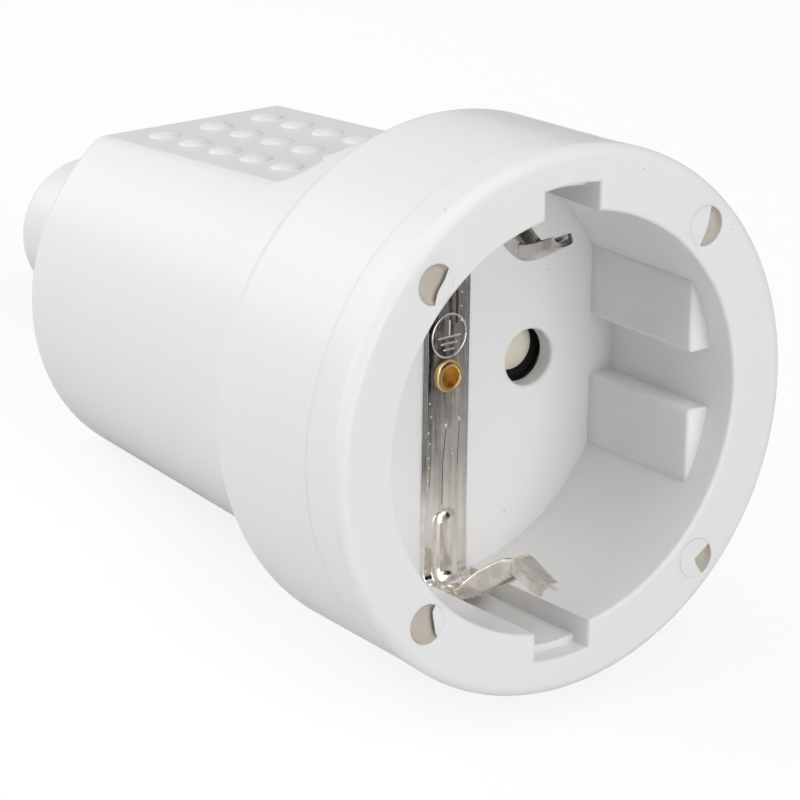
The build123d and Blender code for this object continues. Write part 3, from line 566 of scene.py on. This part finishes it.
def twisted(points):
    """The strap's slight twist: y grows by 0.072 x, in full to |z| = 12 and fading to none at 18."""
    share = np.clip((TWIST_END - np.abs(points[..., 2])) / TWIST_FADE, 0, 1)
    turned = points.copy()
    turned[..., 1] += STRAP_TWIST * points[..., 0] * share
    return turned


def run_length(points):
    """Distance along a line of points from its first one."""
    return np.concatenate([[0], np.cumsum(np.linalg.norm(np.diff(points, axis=0), axis=1))])


def darken_left_edge(mesh, material):
    """Gives the sheared left edge of the strap, between its two folds, a material of its own, with more
    tarnish and a stronger painted shade towards the top.
    """
    centre = np.zeros(len(mesh.polygons) * 3)
    mesh.polygons.foreach_get("center", centre)
    centre = centre.reshape(-1, 3) * 1000
    height = centre[:, 1] * LIE_SIN + centre[:, 2] * LIE_COS
    edge_band, edge_reach = 0.1, 16.0
    left = centre[:, 0] < STRAP_X - STRAP_WIDTH / 2 + edge_band
    edge = left & (np.abs(height) < edge_reach)
    mesh.polygons.foreach_set("material_index", edge.astype(int))
    mesh.materials.append(material)


def make_earth_strap(material, edge_material):
    """Earth strap: flat strip folded forward at both ends; a raised bead on each arm runs round the
    fold and becomes the arched channel of the spring clip."""
    skin = Skin()
    middle, foot = STRAP_FRONT + STRAP_THICK / 2, STRAP_FOOT
    corners = [(FOOT_END, -foot), (middle, -foot), (middle, foot), (FOOT_END, foot)]
    section = rounded_bar(STRAP_WIDTH, STRAP_THICK, 0.16)
    path = bend_path(corners, STRAP_BEND)
    bar = twisted(sweep_strip(path, section[:, 0] + STRAP_X, section[:, 1]))
    skin.grid(bar, wrap=True)
    for end, flip in ((bar[0], True), (bar[-1], False)):
        skin.grid(np.stack([end, np.broadcast_to(end.mean(0), end.shape)]), wrap=True, flip=flip)

    line = smooth_line(np.array(CLIP_LINE))
    path, depth, half, centre, arch = line[:, :2], line[:, 2], line[:, 3], line[:, 4], line[:, 5]
    # The bead rises out of the strip over its first stretch, and the clip's lower edge is worn
    reach, bead_rise, bead_sink, worn_from = run_length(path), 1.3, 0.62, 11
    near = np.clip(reach / bead_rise, 0, 1)
    wide = np.sqrt(np.maximum(1 - (1 - near) ** 2, 0.0004))
    sink = (1 - near) ** 2.5 * bead_sink
    wave = 0.02 * np.sin(reach * 5.1) * np.sin(reach * 1.7)
    worn = wave * np.clip((reach - worn_from) / 2, 0, 1)
    a, b, c, d, e = channel_section().T
    x = centre[:, None] + (half * wide)[:, None] * a + (CLIP_SHEET * wide)[:, None] * b
    out = -(CLIP_SHEET * c + arch[:, None] * d + (depth + worn)[:, None] * e) - sink[:, None]
    clip = twisted(sweep_strip(path, x, out))
    n = clip.shape[1] // 2
    # The upper clip is the lower one mirrored, with a lower crest and a tip bent up and forwards
    crest_drop, tip_lift, tip_forward = 0.28, 0.9, 0.5
    for side in (1, -1):
        shape = clip * np.array([1.0, 1.0, side])
        if side < 0:
            front = np.clip((15.0 - shape[..., 1]) / 3.0, 0, 1)
            tip = np.clip((5.0 - shape[..., 1]) / 3.2, 0, 1) ** 1.5
            shape[..., 2] += tip_lift * tip - crest_drop * front
            shape[..., 1] -= tip_forward * tip
        skin.grid(shape, wrap=True, flip=side < 0)
        skin.grid(np.stack([shape[-1, :n], shape[-1, n:][::-1]]), flip=side < 0)
    piece = skin.build(
        "earth_strap_metal", "housing", material, ["earth_strap"], sharp=38.0
    )
    darken_left_edge(piece.data, edge_material)
    return piece


def ribbon(points, width, height=0.08, n=8):
    """Low raised line on the strap's face along points (x, z): a half-round section, tapered to
    nothing over the last half width at both ends."""
    points = np.asarray(points, float)
    tangent = np.gradient(points, axis=0)
    tangent /= np.linalg.norm(tangent, axis=1)[:, None]
    reach, sunk = run_length(points), 0.02
    end = np.clip(np.minimum(reach, reach[-1] - reach) / (width / 2), 0.02, 1)
    a = np.linspace(0, np.pi, n + 1)
    across = np.cos(a)[None] * (width / 2 * np.sqrt(end))[:, None]
    high = (np.sin(a)[None] * (height + sunk) - sunk) * end[:, None]
    x = points[:, 0][:, None] - tangent[:, 1][:, None] * across
    z = points[:, 1][:, None] + tangent[:, 0][:, None] * across
    return twisted(np.stack([x, STRAP_FRONT - high, z], -1))


# Earth sign on the strap: the circle's middle and radius, and the bars' z, left and right ends
SIGN_MIDDLE, SIGN_R, SIGN_LINE = (-0.22, 4.0), 2.06, 0.2
SIGN_BARS = ((3.9, -1.69, 1.26), (3.29, -1.28, 0.92), (2.7, -0.92, 0.47))

# Middles (x, z) of the small bright burrs along the strap's edges and scores
BURRS = (
    (-2.5, -2.1), (-2.6, -4.9), (-2.4, -6.0), (-2.56, -7.36), (-2.5, -8.3), (-2.6, -9.53),
    (0.35, -7.5), (1.2, 6.6), (1.25, 7.9), (1.22, 5.2), (-2.3, -3.4),
)


def make_strap_marks(material):
    """Worn earth sign stamped above the rivet, the bright burrs at the tops of two scratches and
    the small burrs along the strap."""
    skin = Skin()
    turn = np.linspace(0, 2 * np.pi, 61)
    ring = np.array(SIGN_MIDDLE) + SIGN_R * np.column_stack([np.cos(turn), np.sin(turn)])
    skin.grid(ribbon(ring, SIGN_LINE))

    def stroke(a, b, width=SIGN_LINE, height=0.08):
        """One straight raised line from a to b."""
        t = np.linspace(0, 1, 13)[:, None]
        skin.grid(ribbon(np.array(a) * (1 - t) + np.array(b) * t, width, height))

    stroke((-0.2, 5.5), (-0.2, 3.95))
    for z, left, right in SIGN_BARS:
        stroke((left, z), (right, z))
    stroke((-0.41, -4.85), (-0.42, -4.4), 0.3)
    stroke((1.22, -4.5), (1.21, -4.05), 0.3)
    for x, z in BURRS:
        stroke((x, z - 0.13), (x + 0.04, z + 0.13), 0.2, 0.1)
    return skin.build("earth_strap_marks", "housing", material, sharp=60.0, weld=1e-9)


def make_strap_scores(material):
    """Dark scores that run along the strap: below the rivet, beside the sign and along its left edge."""
    skin = Skin()
    scores = (
        (((-0.41, -4.8), (-0.6, -6.4), (-0.75, -7.9), (-0.78, -10.2), (-0.77, -12.3)), 0.13),
        (((1.22, -4.5), (1.14, -5.8), (1.08, -7.3), (1.02, -8.7)), 0.12),
        (((0.62, 5.0), (0.66, 6.0), (0.66, 7.0), (0.68, 8.2)), 0.45),
        (((1.25, 4.8), (1.25, 6.0), (1.26, 7.2), (1.25, 8.3)), 0.06),
        (((-2.3, -4.0), (-2.35, -6.0), (-2.3, -8.0), (-2.4, -10.4)), 0.12),
        (((-1.55, -4.6), (-1.6, -5.4), (-1.6, -6.2), (-1.62, -7.0)), 0.07),
    )
    for points, width in scores:
        skin.grid(ribbon(smooth_line(np.array(points), 10), width, 0.008))
    return skin.build("earth_strap_scores", "housing", material, sharp=60.0, weld=1e-9)


# Half section of the rivet's rolled rim, (radius, distance behind the strap's face), outside first
RIVET_RIM = (
    (1.62, 0.06), (1.6, -0.08), (1.52, -0.2), (1.34, -0.28), (1.12, -0.24), (0.98, -0.08), (0.92, 0.3),
)


def make_rivet(material):
    """Tubular rivet in the strap's middle: its rim is rolled outwards a little unevenly, by
    r(a) = r (1 + 0.025 cos(2a + 0.6) + 0.015 cos(5a)), and its hollow lies a little off centre."""
    middle_x, middle_z, hollow_x, hollow_z = -0.23, 0.15, 0.18, -0.2
    profile = np.vstack([smooth_line(np.array(RIVET_RIM), 5), [(0.9, 0.9), (0.88, 2.2)]])
    turn = np.arange(96) * (2 * np.pi / 96)
    share = np.clip((1.6 - profile[:, 0]) / 0.7, 0, 1)[:, None]
    uneven = 1 + (0.025 * np.cos(2 * turn + 0.6) + 0.015 * np.cos(5 * turn)) * (1 - 0.4 * share)
    r = profile[:, 0][:, None] * uneven
    x = middle_x + hollow_x * share + r * np.cos(turn)
    z = middle_z + hollow_z * share + r * np.sin(turn)
    y = STRAP_FRONT + profile[:, 1][:, None] + 0.03 * np.cos(turn - 0.8) * (1 - share)
    skin = Skin()
    skin.grid(twisted(np.stack([x, y, z], -1)), wrap=True)
    return skin.build("rivet_tube", "housing", material, ["centre_rivet"])


def make_rivet_core(material):
    """Discoloured bottom of the rivet's hollow: a disc just in front of the strap's face, raised
    a little towards its rim and uneven by 0.02 r cos(3a)."""
    radius, middle = 0.98, -0.05
    r, turn = np.array([radius, 0.7, 0.4, 0.2, 0.004])[:, None], np.arange(48) * (2 * np.pi / 48)
    y = STRAP_FRONT - 0.03 - 0.05 * (r / radius) ** 2 - 0.02 * np.cos(3 * turn) * r
    disc = np.stack([middle + r * np.cos(turn), y, middle + r * np.sin(turn)], -1)
    skin = Skin()
    skin.grid(twisted(disc), wrap=True)
    return skin.build("rivet_core", "housing", material)


def make_shutter_pads(material):
    """The shutter's two domed pads, each a spherical cap with a short rim."""
    ball = (PAD_R * PAD_R + PAD_RISE * PAD_RISE) / (2 * PAD_RISE)
    tip = PAD_FRONT - PAD_RISE
    angles = np.linspace(0, math.asin(PAD_R / ball), 24)
    profile = [(max(ball * math.sin(a), 0.0005), tip + ball * (1 - math.cos(a))) for a in angles]
    profile += [(PAD_R + 0.01, PAD_FRONT + 0.03), (PAD_R + 0.01, PAD_FRONT + 1.0)]
    skin = Skin()
    for place in PAD_PLACES:
        skin.revolve(profile, n=96, centre=place, flip=True)
    return skin.build("shutter_pads", "shutter", material)


def make_pad_shade(material):
    """Painted shade: a black ring behind the floor round each of the shutter's pads, standing for the
    unlit gap there.
    """
    skin = Skin()
    for place in PAD_PLACES:
        skin.revolve([(SHADE_R, SHADE_DEPTH), (PAD_R + 0.01, SHADE_DEPTH)], n=96, centre=place)
    return skin.build("pad_shade", "shutter", material)


# Free edge of the pale insert in each ring hole, by the hole's angle: points (outward, along) in mm,
# and a direction in degrees that points to the pale side
INSERTS = {
    45: (((1.75, 0.97), (1.12, 0.62), (0.65, 0.23), (0.04, -0.14), (-0.64, -0.41), (-1.83, -0.8)), 115),
    135: (((-1.0, -1.73), (-1.41, -1.25), (-1.52, -0.41), (-1.64, 0.04), (-1.85, 0.6)), 180),
    225: (((-2.0, -0.1), (-1.7, -0.03), (-1.18, 0.69), (-0.57, 1.59), (-0.35, 1.97)), 130),
    315: (((0.45, 1.95), (0.39, 1.31), (0.25, 0.53), (0.15, -0.22), (0.79, -0.49), (1.9, -0.62)), 200),
}
# Where the edges are measured from, as an offset (x, z) from the part's own hole
INSERT_SHIFT = (-0.28, 0.15)


def make_hole_inserts(material):
    """Pale insert in each ring hole: a flat just behind the ring's face, from its free edge round
    the hole's wall on the pale side."""
    skin = Skin()
    reach = HOLE_R + 0.02
    for place, (angle, (edge, pale)) in zip(RING_HOLES, INSERTS.items()):
        c, s = math.cos(math.radians(angle)), math.sin(math.radians(angle))
        turn = np.array([[c, s], [-s, c]])
        own_hole = np.array([c, s]) * HOLE_RING_R
        edge = np.array(edge) + turn @ (own_hole - place + np.array(INSERT_SHIFT))
        edge[[0, -1]] *= reach / np.linalg.norm(edge[[0, -1]], axis=1)[:, None]
        first, last = (math.degrees(math.atan2(p[1], p[0])) for p in (edge[0], edge[-1]))
        to_pale, to_first = (pale - last) % 360, (first - pale) % 360
        sweep = to_pale + to_first
        if sweep >= 360:
            sweep = -((last - first) % 360)
        loop = np.vstack([edge, arc((0, 0), reach, last, last + sweep, 25)[1:-1]])
        skin.plate([loop @ turn + place], INSERT_DEPTH)
    return skin.build("hole_inserts", "housing", material)


def make_hole_floors(material):
    """Flat bottoms of the ring's holes, each rising softly to its rim, in a painted shade: beige for
    white plastic in the holes' shadow.
    """
    skin = Skin()
    r = HOLE_R - 0.01
    profile = [(r, 0.1), (r - 0.12, 0.35), (r - 0.35, HOLE_FLOOR), (0.002, HOLE_FLOOR)]
    for place in RING_HOLES:
        skin.revolve(profile, n=60, centre=place)
    return skin.build("hole_floors", "housing", material)


# Dust specks: depth, radius and middles (x, z)
SPECKS = (
    (0.0, 0.055, ((7.88, 22.37), (21.39, 6.23), (-14.37, 22.18), (18.66, 15.11))),
    (RECESS_DEPTH, 0.06, ((11.58, 8.26), (6.99, -14.58), (17.99, -3.03), (19.61, -3.73))),
)


def make_specks(material):
    """Tiny dark specks of dust: flat discs at the depths of the ring's face and the recess floor."""
    skin = Skin()
    for y, r, places in SPECKS:
        profile = [(r, y - 0.004), (r * 0.6, y - 0.012), (0.002, y - 0.014)]
        for place in places:
            skin.revolve(profile, n=10, centre=place)
    return skin.build("specks", "housing", material, weld=1e-9)


def node_group(name, inputs, outputs):
    """A shader node group with its sockets; returns the tree and its two end nodes."""
    tree = bpy.data.node_groups.new(name, "ShaderNodeTree")
    for label, kind, value in inputs:
        socket = tree.interface.new_socket(label, in_out="INPUT", socket_type=kind)
        socket.default_value = value
    for label, kind in outputs:
        tree.interface.new_socket(label, in_out="OUTPUT", socket_type=kind)
    return tree, tree.nodes.new("NodeGroupInput"), tree.nodes.new("NodeGroupOutput")


def fill(node, values):
    """Sets a node's inputs, by name or number."""
    for label, value in values.items():
        node.inputs[label].default_value = value


def add_node(tree, kind, values=None, **settings):
    """Adds a shader node; settings are its own choices and values go into its inputs."""
    node = tree.nodes.new("ShaderNode" + kind)
    for label, setting in settings.items():
        setattr(node, label, setting)
    fill(node, values or {})
    return node


def join(tree, *lines):
    """Links nodes: each line is a node, its output, the next node and its input."""
    for source, output, target, entry in lines:
        tree.links.new(source.outputs[output], target.inputs[entry])


def make_moulded_grain():
    """Shared effect: the faint unevenness of moulded plastic, as a bump normal and a roughness."""
    tree, start, end = node_group(
        "moulded_grain",
        [("Roughness", "NodeSocketFloat", 0.3), ("Depth", "NodeSocketFloat", 0.02)],
        [("Normal", "NodeSocketVector"), ("Roughness", "NodeSocketFloat")],
    )
    place = add_node(tree, "TexCoord")
    fine = add_node(tree, "TexNoise", {"Scale": 900.0, "Detail": 3.0})
    wide = add_node(tree, "TexNoise", {"Scale": 55.0, "Detail": 2.0})
    blend = add_node(tree, "Math", {1: 4.0}, operation="MULTIPLY_ADD")
    bump = add_node(tree, "Bump", {"Distance": 0.00004})
    spread = add_node(tree, "MapRange", {"To Min": -0.05, "To Max": 0.05})
    total = add_node(tree, "Math", operation="ADD")
    join(
        tree,
        (place, "Object", fine, "Vector"),
        (place, "Object", wide, "Vector"),
        (wide, "Fac", blend, 0),
        (fine, "Fac", blend, 2),
        (start, "Depth", bump, "Strength"),
        (blend, "Value", bump, "Height"),
        (wide, "Fac", spread, "Value"),
        (start, "Roughness", total, 0),
        (spread, "Result", total, 1),
        (bump, "Normal", end, "Normal"),
        (total, "Value", end, "Roughness"),
    )
    return tree


def make_wear():
    """Shared effect: blotchy tarnish and fine long scratches on bare metal, the scratches stretched
    along the straight frame's axes by Along."""
    tree, start, end = node_group(
        "metal_wear",
        [
            ("Clean", "NodeSocketColor", (0.6, 0.57, 0.52, 1)),
            ("Tarnish", "NodeSocketColor", (0.3, 0.27, 0.23, 1)),
            ("Amount", "NodeSocketFloat", 0.4),
            ("Roughness", "NodeSocketFloat", 0.3),
            ("Along", "NodeSocketVector", (1.0, 1.0, 1.0)),
        ],
        [("Color", "NodeSocketColor"), ("Roughness", "NodeSocketFloat"), ("Normal", "NodeSocketVector")],
    )
    place = add_node(tree, "TexCoord")
    straight = add_node(tree, "Mapping", {"Rotation": (LIE, 0, 0)})
    stretch = add_node(tree, "VectorMath", operation="MULTIPLY")
    blotch = add_node(tree, "TexNoise", {"Scale": 260.0, "Detail": 5.0, "Roughness": 0.62})
    streak = add_node(tree, "TexNoise", {"Scale": 420.0, "Detail": 4.0})
    both = add_node(tree, "Math", operation="MULTIPLY")
    level = add_node(tree, "MapRange", {"From Min": 0.2, "From Max": 0.36})
    share = add_node(tree, "Math", operation="MULTIPLY")
    colour = add_node(tree, "Mix", data_type="RGBA")
    rough = add_node(tree, "Math", {1: 0.25}, operation="MULTIPLY_ADD")
    bump = add_node(tree, "Bump", {"Strength": 0.25, "Distance": 0.00005})
    join(
        tree,
        (place, "Object", straight, "Vector"),
        (straight, "Vector", stretch, 0),
        (start, "Along", stretch, 1),
        (place, "Object", blotch, "Vector"),
        (stretch, "Vector", streak, "Vector"),
        (blotch, "Fac", both, 0),
        (streak, "Fac", both, 1),
        (both, "Value", level, "Value"),
        (level, "Result", share, 0),
        (start, "Amount", share, 1),
        (share, "Value", colour, "Factor"),
        (start, "Clean", colour, "A"),
        (start, "Tarnish", colour, "B"),
        (level, "Result", rough, 0),
        (start, "Roughness", rough, 2),
        (streak, "Fac", bump, "Height"),
        (colour, "Result", end, "Color"),
        (rough, "Value", end, "Roughness"),
        (bump, "Normal", end, "Normal"),
    )
    return tree


def new_material(name, values):
    """A material, its node tree and its Principled shader, which takes the values."""
    material = bpy.data.materials.new(name)
    material.use_nodes = True
    shader = material.node_tree.nodes["Principled BSDF"]
    fill(shader, values)
    return material, material.node_tree, shader


def plastic(name, colour, roughness, soft=0.0):
    """Moulded plastic with the shared grain; soft is the share of light that goes under its skin."""
    values = {"Base Color": (*colour, 1), "IOR": 1.5, "Specular IOR Level": 0.3}
    if soft:
        values["Subsurface Weight"] = soft
        values["Subsurface Radius"] = (0.0012, 0.0011, 0.001)
        values["Subsurface Scale"] = 1.0
    material, tree, shader = new_material(name, values)
    effect = add_node(tree, "Group", {"Roughness": roughness, "Depth": 0.02}, node_tree=GRAIN)
    join(tree, (effect, "Normal", shader, "Normal"), (effect, "Roughness", shader, "Roughness"))
    return material


def paint_shade_upwards(tree, colour, low, high, share):
    """Painted shade: multiplies a colour by 1 below one height along the strap and by a share above
    another, with the heights in metres, so the strap's metal dims towards its top."""
    place = add_node(tree, "TexCoord")
    straight = add_node(tree, "Mapping", {"Rotation": (LIE, 0, 0)})
    split = add_node(tree, "SeparateXYZ")
    heights = {"From Min": low, "From Max": high, "To Min": 1.0, "To Max": share}
    level = add_node(tree, "MapRange", heights)
    scale = add_node(tree, "VectorMath", operation="SCALE")
    tree.links.new(colour, scale.inputs[0])
    join(
        tree,
        (place, "Object", straight, "Vector"),
        (straight, "Vector", split, "Vector"),
        (split, "Z", level, "Value"),
        (level, "Result", scale, "Scale"),
    )
    return scale.outputs["Vector"]


def metal(name, clean, tarnish, amount, roughness, along=(1.0, 1.0, 1.0), painted_shade=None):
    """Bare metal with the shared wear; the last argument, if given, holds the heights and the share
    of a painted shade that dims the colour towards the strap's top.
    """
    material, tree, shader = new_material(name, {"Metallic": 1.0})
    values = {"Clean": (*clean, 1), "Tarnish": (*tarnish, 1), "Amount": amount}
    values.update({"Roughness": roughness, "Along": along})
    effect = add_node(tree, "Group", values, node_tree=WEAR)
    join(tree, (effect, "Roughness", shader, "Roughness"), (effect, "Normal", shader, "Normal"))
    colour = effect.outputs["Color"]
    # Painted shade: the colour dims towards the top of the strap
    if painted_shade:
        colour = paint_shade_upwards(tree, colour, *painted_shade)
    tree.links.new(colour, shader.inputs["Base Color"])
    return material


GRAIN = make_moulded_grain()
WEAR = make_wear()
STRIP, ALONG_STRIP = (0.94, 0.895, 0.835), (4.0, 1.0, 0.22)
WHITE = plastic("white_moulding", (0.872, 0.869, 0.862), 0.3, soft=0.15)
SLEEVE_WHITE = plastic("sleeve_moulding", (0.865, 0.862, 0.855), 0.34, soft=0.15)
IVORY = plastic("ivory_moulding", (0.80, 0.76, 0.62), 0.4)
CARRIER = plastic("carrier_moulding", (0.80, 0.78, 0.70), 0.45)
# Painted shade: the beige stands for the white plastic in shadow inside the ring's holes
HOLE_SHADE = plastic("painted_hole_shade", (0.56, 0.51, 0.44), 0.5)
SPECK = plastic("dust", (0.25, 0.2, 0.16), 0.8)
# Painted shade: near-black, it stands for the unlit gap round the shutter's pads
SHADE = plastic("painted_gap_shade", (0.008, 0.008, 0.008), 0.9)
# The strap's metals carry a painted shade: their colour falls off towards the top of the strap, most on
# its left edge
NICKEL = metal(
    "nickel_strip", STRIP, (0.56, 0.515, 0.455), 0.5, 0.12, ALONG_STRIP, (-0.0135, -0.0075, 0.62)
)
EDGE = metal(
    "sheared_edge_painted_shade", STRIP, (0.35, 0.32, 0.28), 0.9, 0.25, ALONG_STRIP, (-0.0125, -0.0085, 0.35)
)
BRASS = metal("brass", (0.80, 0.58, 0.28), (0.42, 0.24, 0.09), 0.7, 0.2)
BRIGHT = metal("bright_edges", (0.92, 0.90, 0.86), (0.6, 0.57, 0.5), 0.35, 0.16)
STAINED = metal("stained_brass", (0.78, 0.34, 0.06), (0.16, 0.045, 0.01), 1.0, 0.35)
SCORE = metal("scored_metal", (0.12, 0.11, 0.10), (0.05, 0.045, 0.04), 0.6, 0.4)
STEEL = metal("plated_steel", (0.62, 0.60, 0.55), (0.4, 0.38, 0.34), 0.4, 0.3)

slots = {
    "socket_front": WHITE,
    "grip_shell": WHITE,
    "cable_sleeve": SLEEVE_WHITE,
    "earth_strap": NICKEL,
    "centre_rivet": BRASS,
    "shutter": IVORY,
    "shutter_spring": STEEL,
    "contact_carrier": CARRIER,
    "cord_clamp": CARRIER,
    "line_contact": BRASS,
    "neutral_contact": BRASS,
    "earth_terminal": BRASS,
}
for name, node in frame["nodes"].items():
    node.data.materials.clear()
    node.data.materials.append(slots.get(name, STEEL))

make_socket_front(WHITE)
make_grip_shell(WHITE)
make_studs(WHITE)
make_cable_sleeve(SLEEVE_WHITE)
make_earth_strap(NICKEL, EDGE)
make_strap_marks(BRIGHT)
make_strap_scores(SCORE)
make_rivet(BRASS)
make_rivet_core(STAINED)
make_shutter_pads(IVORY)
make_pad_shade(SHADE)
make_hole_inserts(WHITE)
make_hole_floors(HOLE_SHADE)
make_specks(SPECK)

# Camera: 207 mm lens at 410 mm, to the left of the ring and above it, nearly level. Its place is in
# millimetres, and its axes are unit vectors, all in the straight frame
EYE = (-248.661, -298.941, 129.431)
RIGHT = (0.79547, -0.60584, 0.01398)
DOWN = (-0.17813, -0.25580, -0.95018)
AHEAD = (0.57923, 0.75334, -0.31140)


def place_item(item, axes, place):
    """Links an object and sets its matrix from three axes, as columns, and a place in metres."""
    matrix = np.eye(4)
    matrix[:3, :3] = np.column_stack(axes)
    matrix[:3, 3] = place
    bpy.context.scene.collection.objects.link(item)
    item.matrix_world = Matrix(matrix.tolist())


lens = bpy.data.cameras.new("camera")
lens.sensor_width = 36.0
lens.lens = 207.36
lens.shift_x = -0.0014
lens.shift_y = 0.0005
lens.clip_start = 0.02
lens.clip_end = 20.0
camera = bpy.data.objects.new("camera", lens)
right, down, ahead = lay([RIGHT, DOWN, AHEAD]) * 1000
place_item(camera, (right, -down, -ahead), lay([EYE])[0])
bpy.context.scene.camera = camera

LAMP_SIDE, LAMP_COLOUR, LAMP_TARGET = 0.5, (0.985, 0.985, 1.0), (0, 20, 0)


def area_light(name, place, power):
    """A soft square lamp that faces the object; its place is in the straight frame, in millimetres."""
    lamp = bpy.data.lights.new(name, "AREA")
    lamp.shape = "RECTANGLE"
    lamp.size, lamp.size_y, lamp.energy, lamp.color = LAMP_SIDE, LAMP_SIDE, power, LAMP_COLOUR
    start, target = lay([place, LAMP_TARGET])
    back = (start - target) / np.linalg.norm(start - target)
    side = np.cross([0, 0, 1], back)
    side /= np.linalg.norm(side)
    place_item(bpy.data.objects.new(name, lamp), (side, np.cross(back, side), back), start)


area_light("low_left", (-643.6, 84.4, 64.4), 1.7)
area_light("high_left", (-487, 80.9, 426.1), 0.8)
area_light("top", (0, 84.7, 646.8), 0.7)
area_light("top_front", (0, -370, 520), 1.6)
area_light("front", (64.4, -623.6, 64.4), 2.1)
area_light("rear_left", (-309.9, 453.8, 371.9), 1.35)


def make_studio_world():
    """World that looks white to camera, glossy and transmission rays, and lights the rest faintly."""
    world = bpy.data.worlds.new("studio")
    bpy.context.scene.world = world
    world.use_nodes = True
    tree = world.node_tree
    tree.nodes.clear()
    faint = add_node(tree, "Background", {"Color": (0.97, 0.98, 1.0, 1), "Strength": 0.015})
    seen = add_node(tree, "Background", {"Color": (1, 1, 1, 1), "Strength": 1.0})
    path = add_node(tree, "LightPath")
    mix = add_node(tree, "MixShader")
    shown = path.outputs["Is Camera Ray"]
    for ray in ("Is Glossy Ray", "Is Transmission Ray"):
        either = add_node(tree, "Math", operation="MAXIMUM")
        tree.links.new(shown, either.inputs[0])
        tree.links.new(path.outputs[ray], either.inputs[1])
        shown = either.outputs["Value"]
    tree.links.new(shown, mix.inputs["Fac"])
    join(
        tree,
        (faint, "Background", mix, 1),
        (seen, "Background", mix, 2),
        (mix, "Shader", add_node(tree, "OutputWorld"), "Surface"),
    )


def make_floor_paper():
    """Pale floor paper: for camera rays, three quarters of its look is a plain white glow."""
    values = {"Base Color": (0.74, 0.74, 0.74, 1), "Roughness": 0.9, "Specular IOR Level": 0.2}
    paper, tree, shader = new_material("floor_paper", values)
    glow = add_node(tree, "Emission", {"Color": (1, 1, 1, 1), "Strength": 1.12})
    path = add_node(tree, "LightPath")
    part = add_node(tree, "Math", {1: 0.75}, operation="MULTIPLY")
    mix = add_node(tree, "MixShader")
    join(
        tree,
        (path, "Is Camera Ray", part, 0),
        (part, "Value", mix, "Fac"),
        (shader, "BSDF", mix, 1),
        (glow, "Emission", mix, 2),
        (mix, "Shader", tree.nodes["Material Output"], "Surface"),
    )
    return paper


def make_sheet(name, corners, material):
    """A flat sheet with four corners, in metres in the row frame."""
    mesh = bpy.data.meshes.new(name)
    mesh.from_pydata([tuple(corner) for corner in corners], [], [(0, 1, 2, 3)])
    mesh.materials.append(material)
    sheet = bpy.data.objects.new(name, mesh)
    bpy.context.scene.collection.objects.link(sheet)
    return sheet


make_studio_world()
floor_level = min(float(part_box(n)[0][2]) for n in frame["nodes"])
FLOOR_REACH = 4.0
floor_corners = [
    (x * FLOOR_REACH, y * FLOOR_REACH, floor_level) for x, y in ((-1, -1), (1, -1), (1, 1), (-1, 1))
]
floor = make_sheet("floor", floor_corners, make_floor_paper())

# Dark card to the right in front of the recess, seen only in glossy reflections
CARD_NEAR, CARD_FAR, CARD_TOP, CARD_BOTTOM = (6, -77), (84, -13), 45, -60
card_corners = [(*CARD_NEAR, CARD_TOP), (*CARD_FAR, CARD_TOP)]
card_corners += [(*CARD_FAR, CARD_BOTTOM), (*CARD_NEAR, CARD_BOTTOM)]
black = {"Base Color": (0.012, 0.013, 0.016, 1), "Roughness": 1.0, "Specular IOR Level": 0.0}
card = make_sheet("dark_card", lay(card_corners), new_material("dark_card", black)[0])
card.visible_camera = card.visible_diffuse = card.visible_shadow = card.visible_transmission = False

bpy.context.scene.view_settings.view_transform = "Standard"
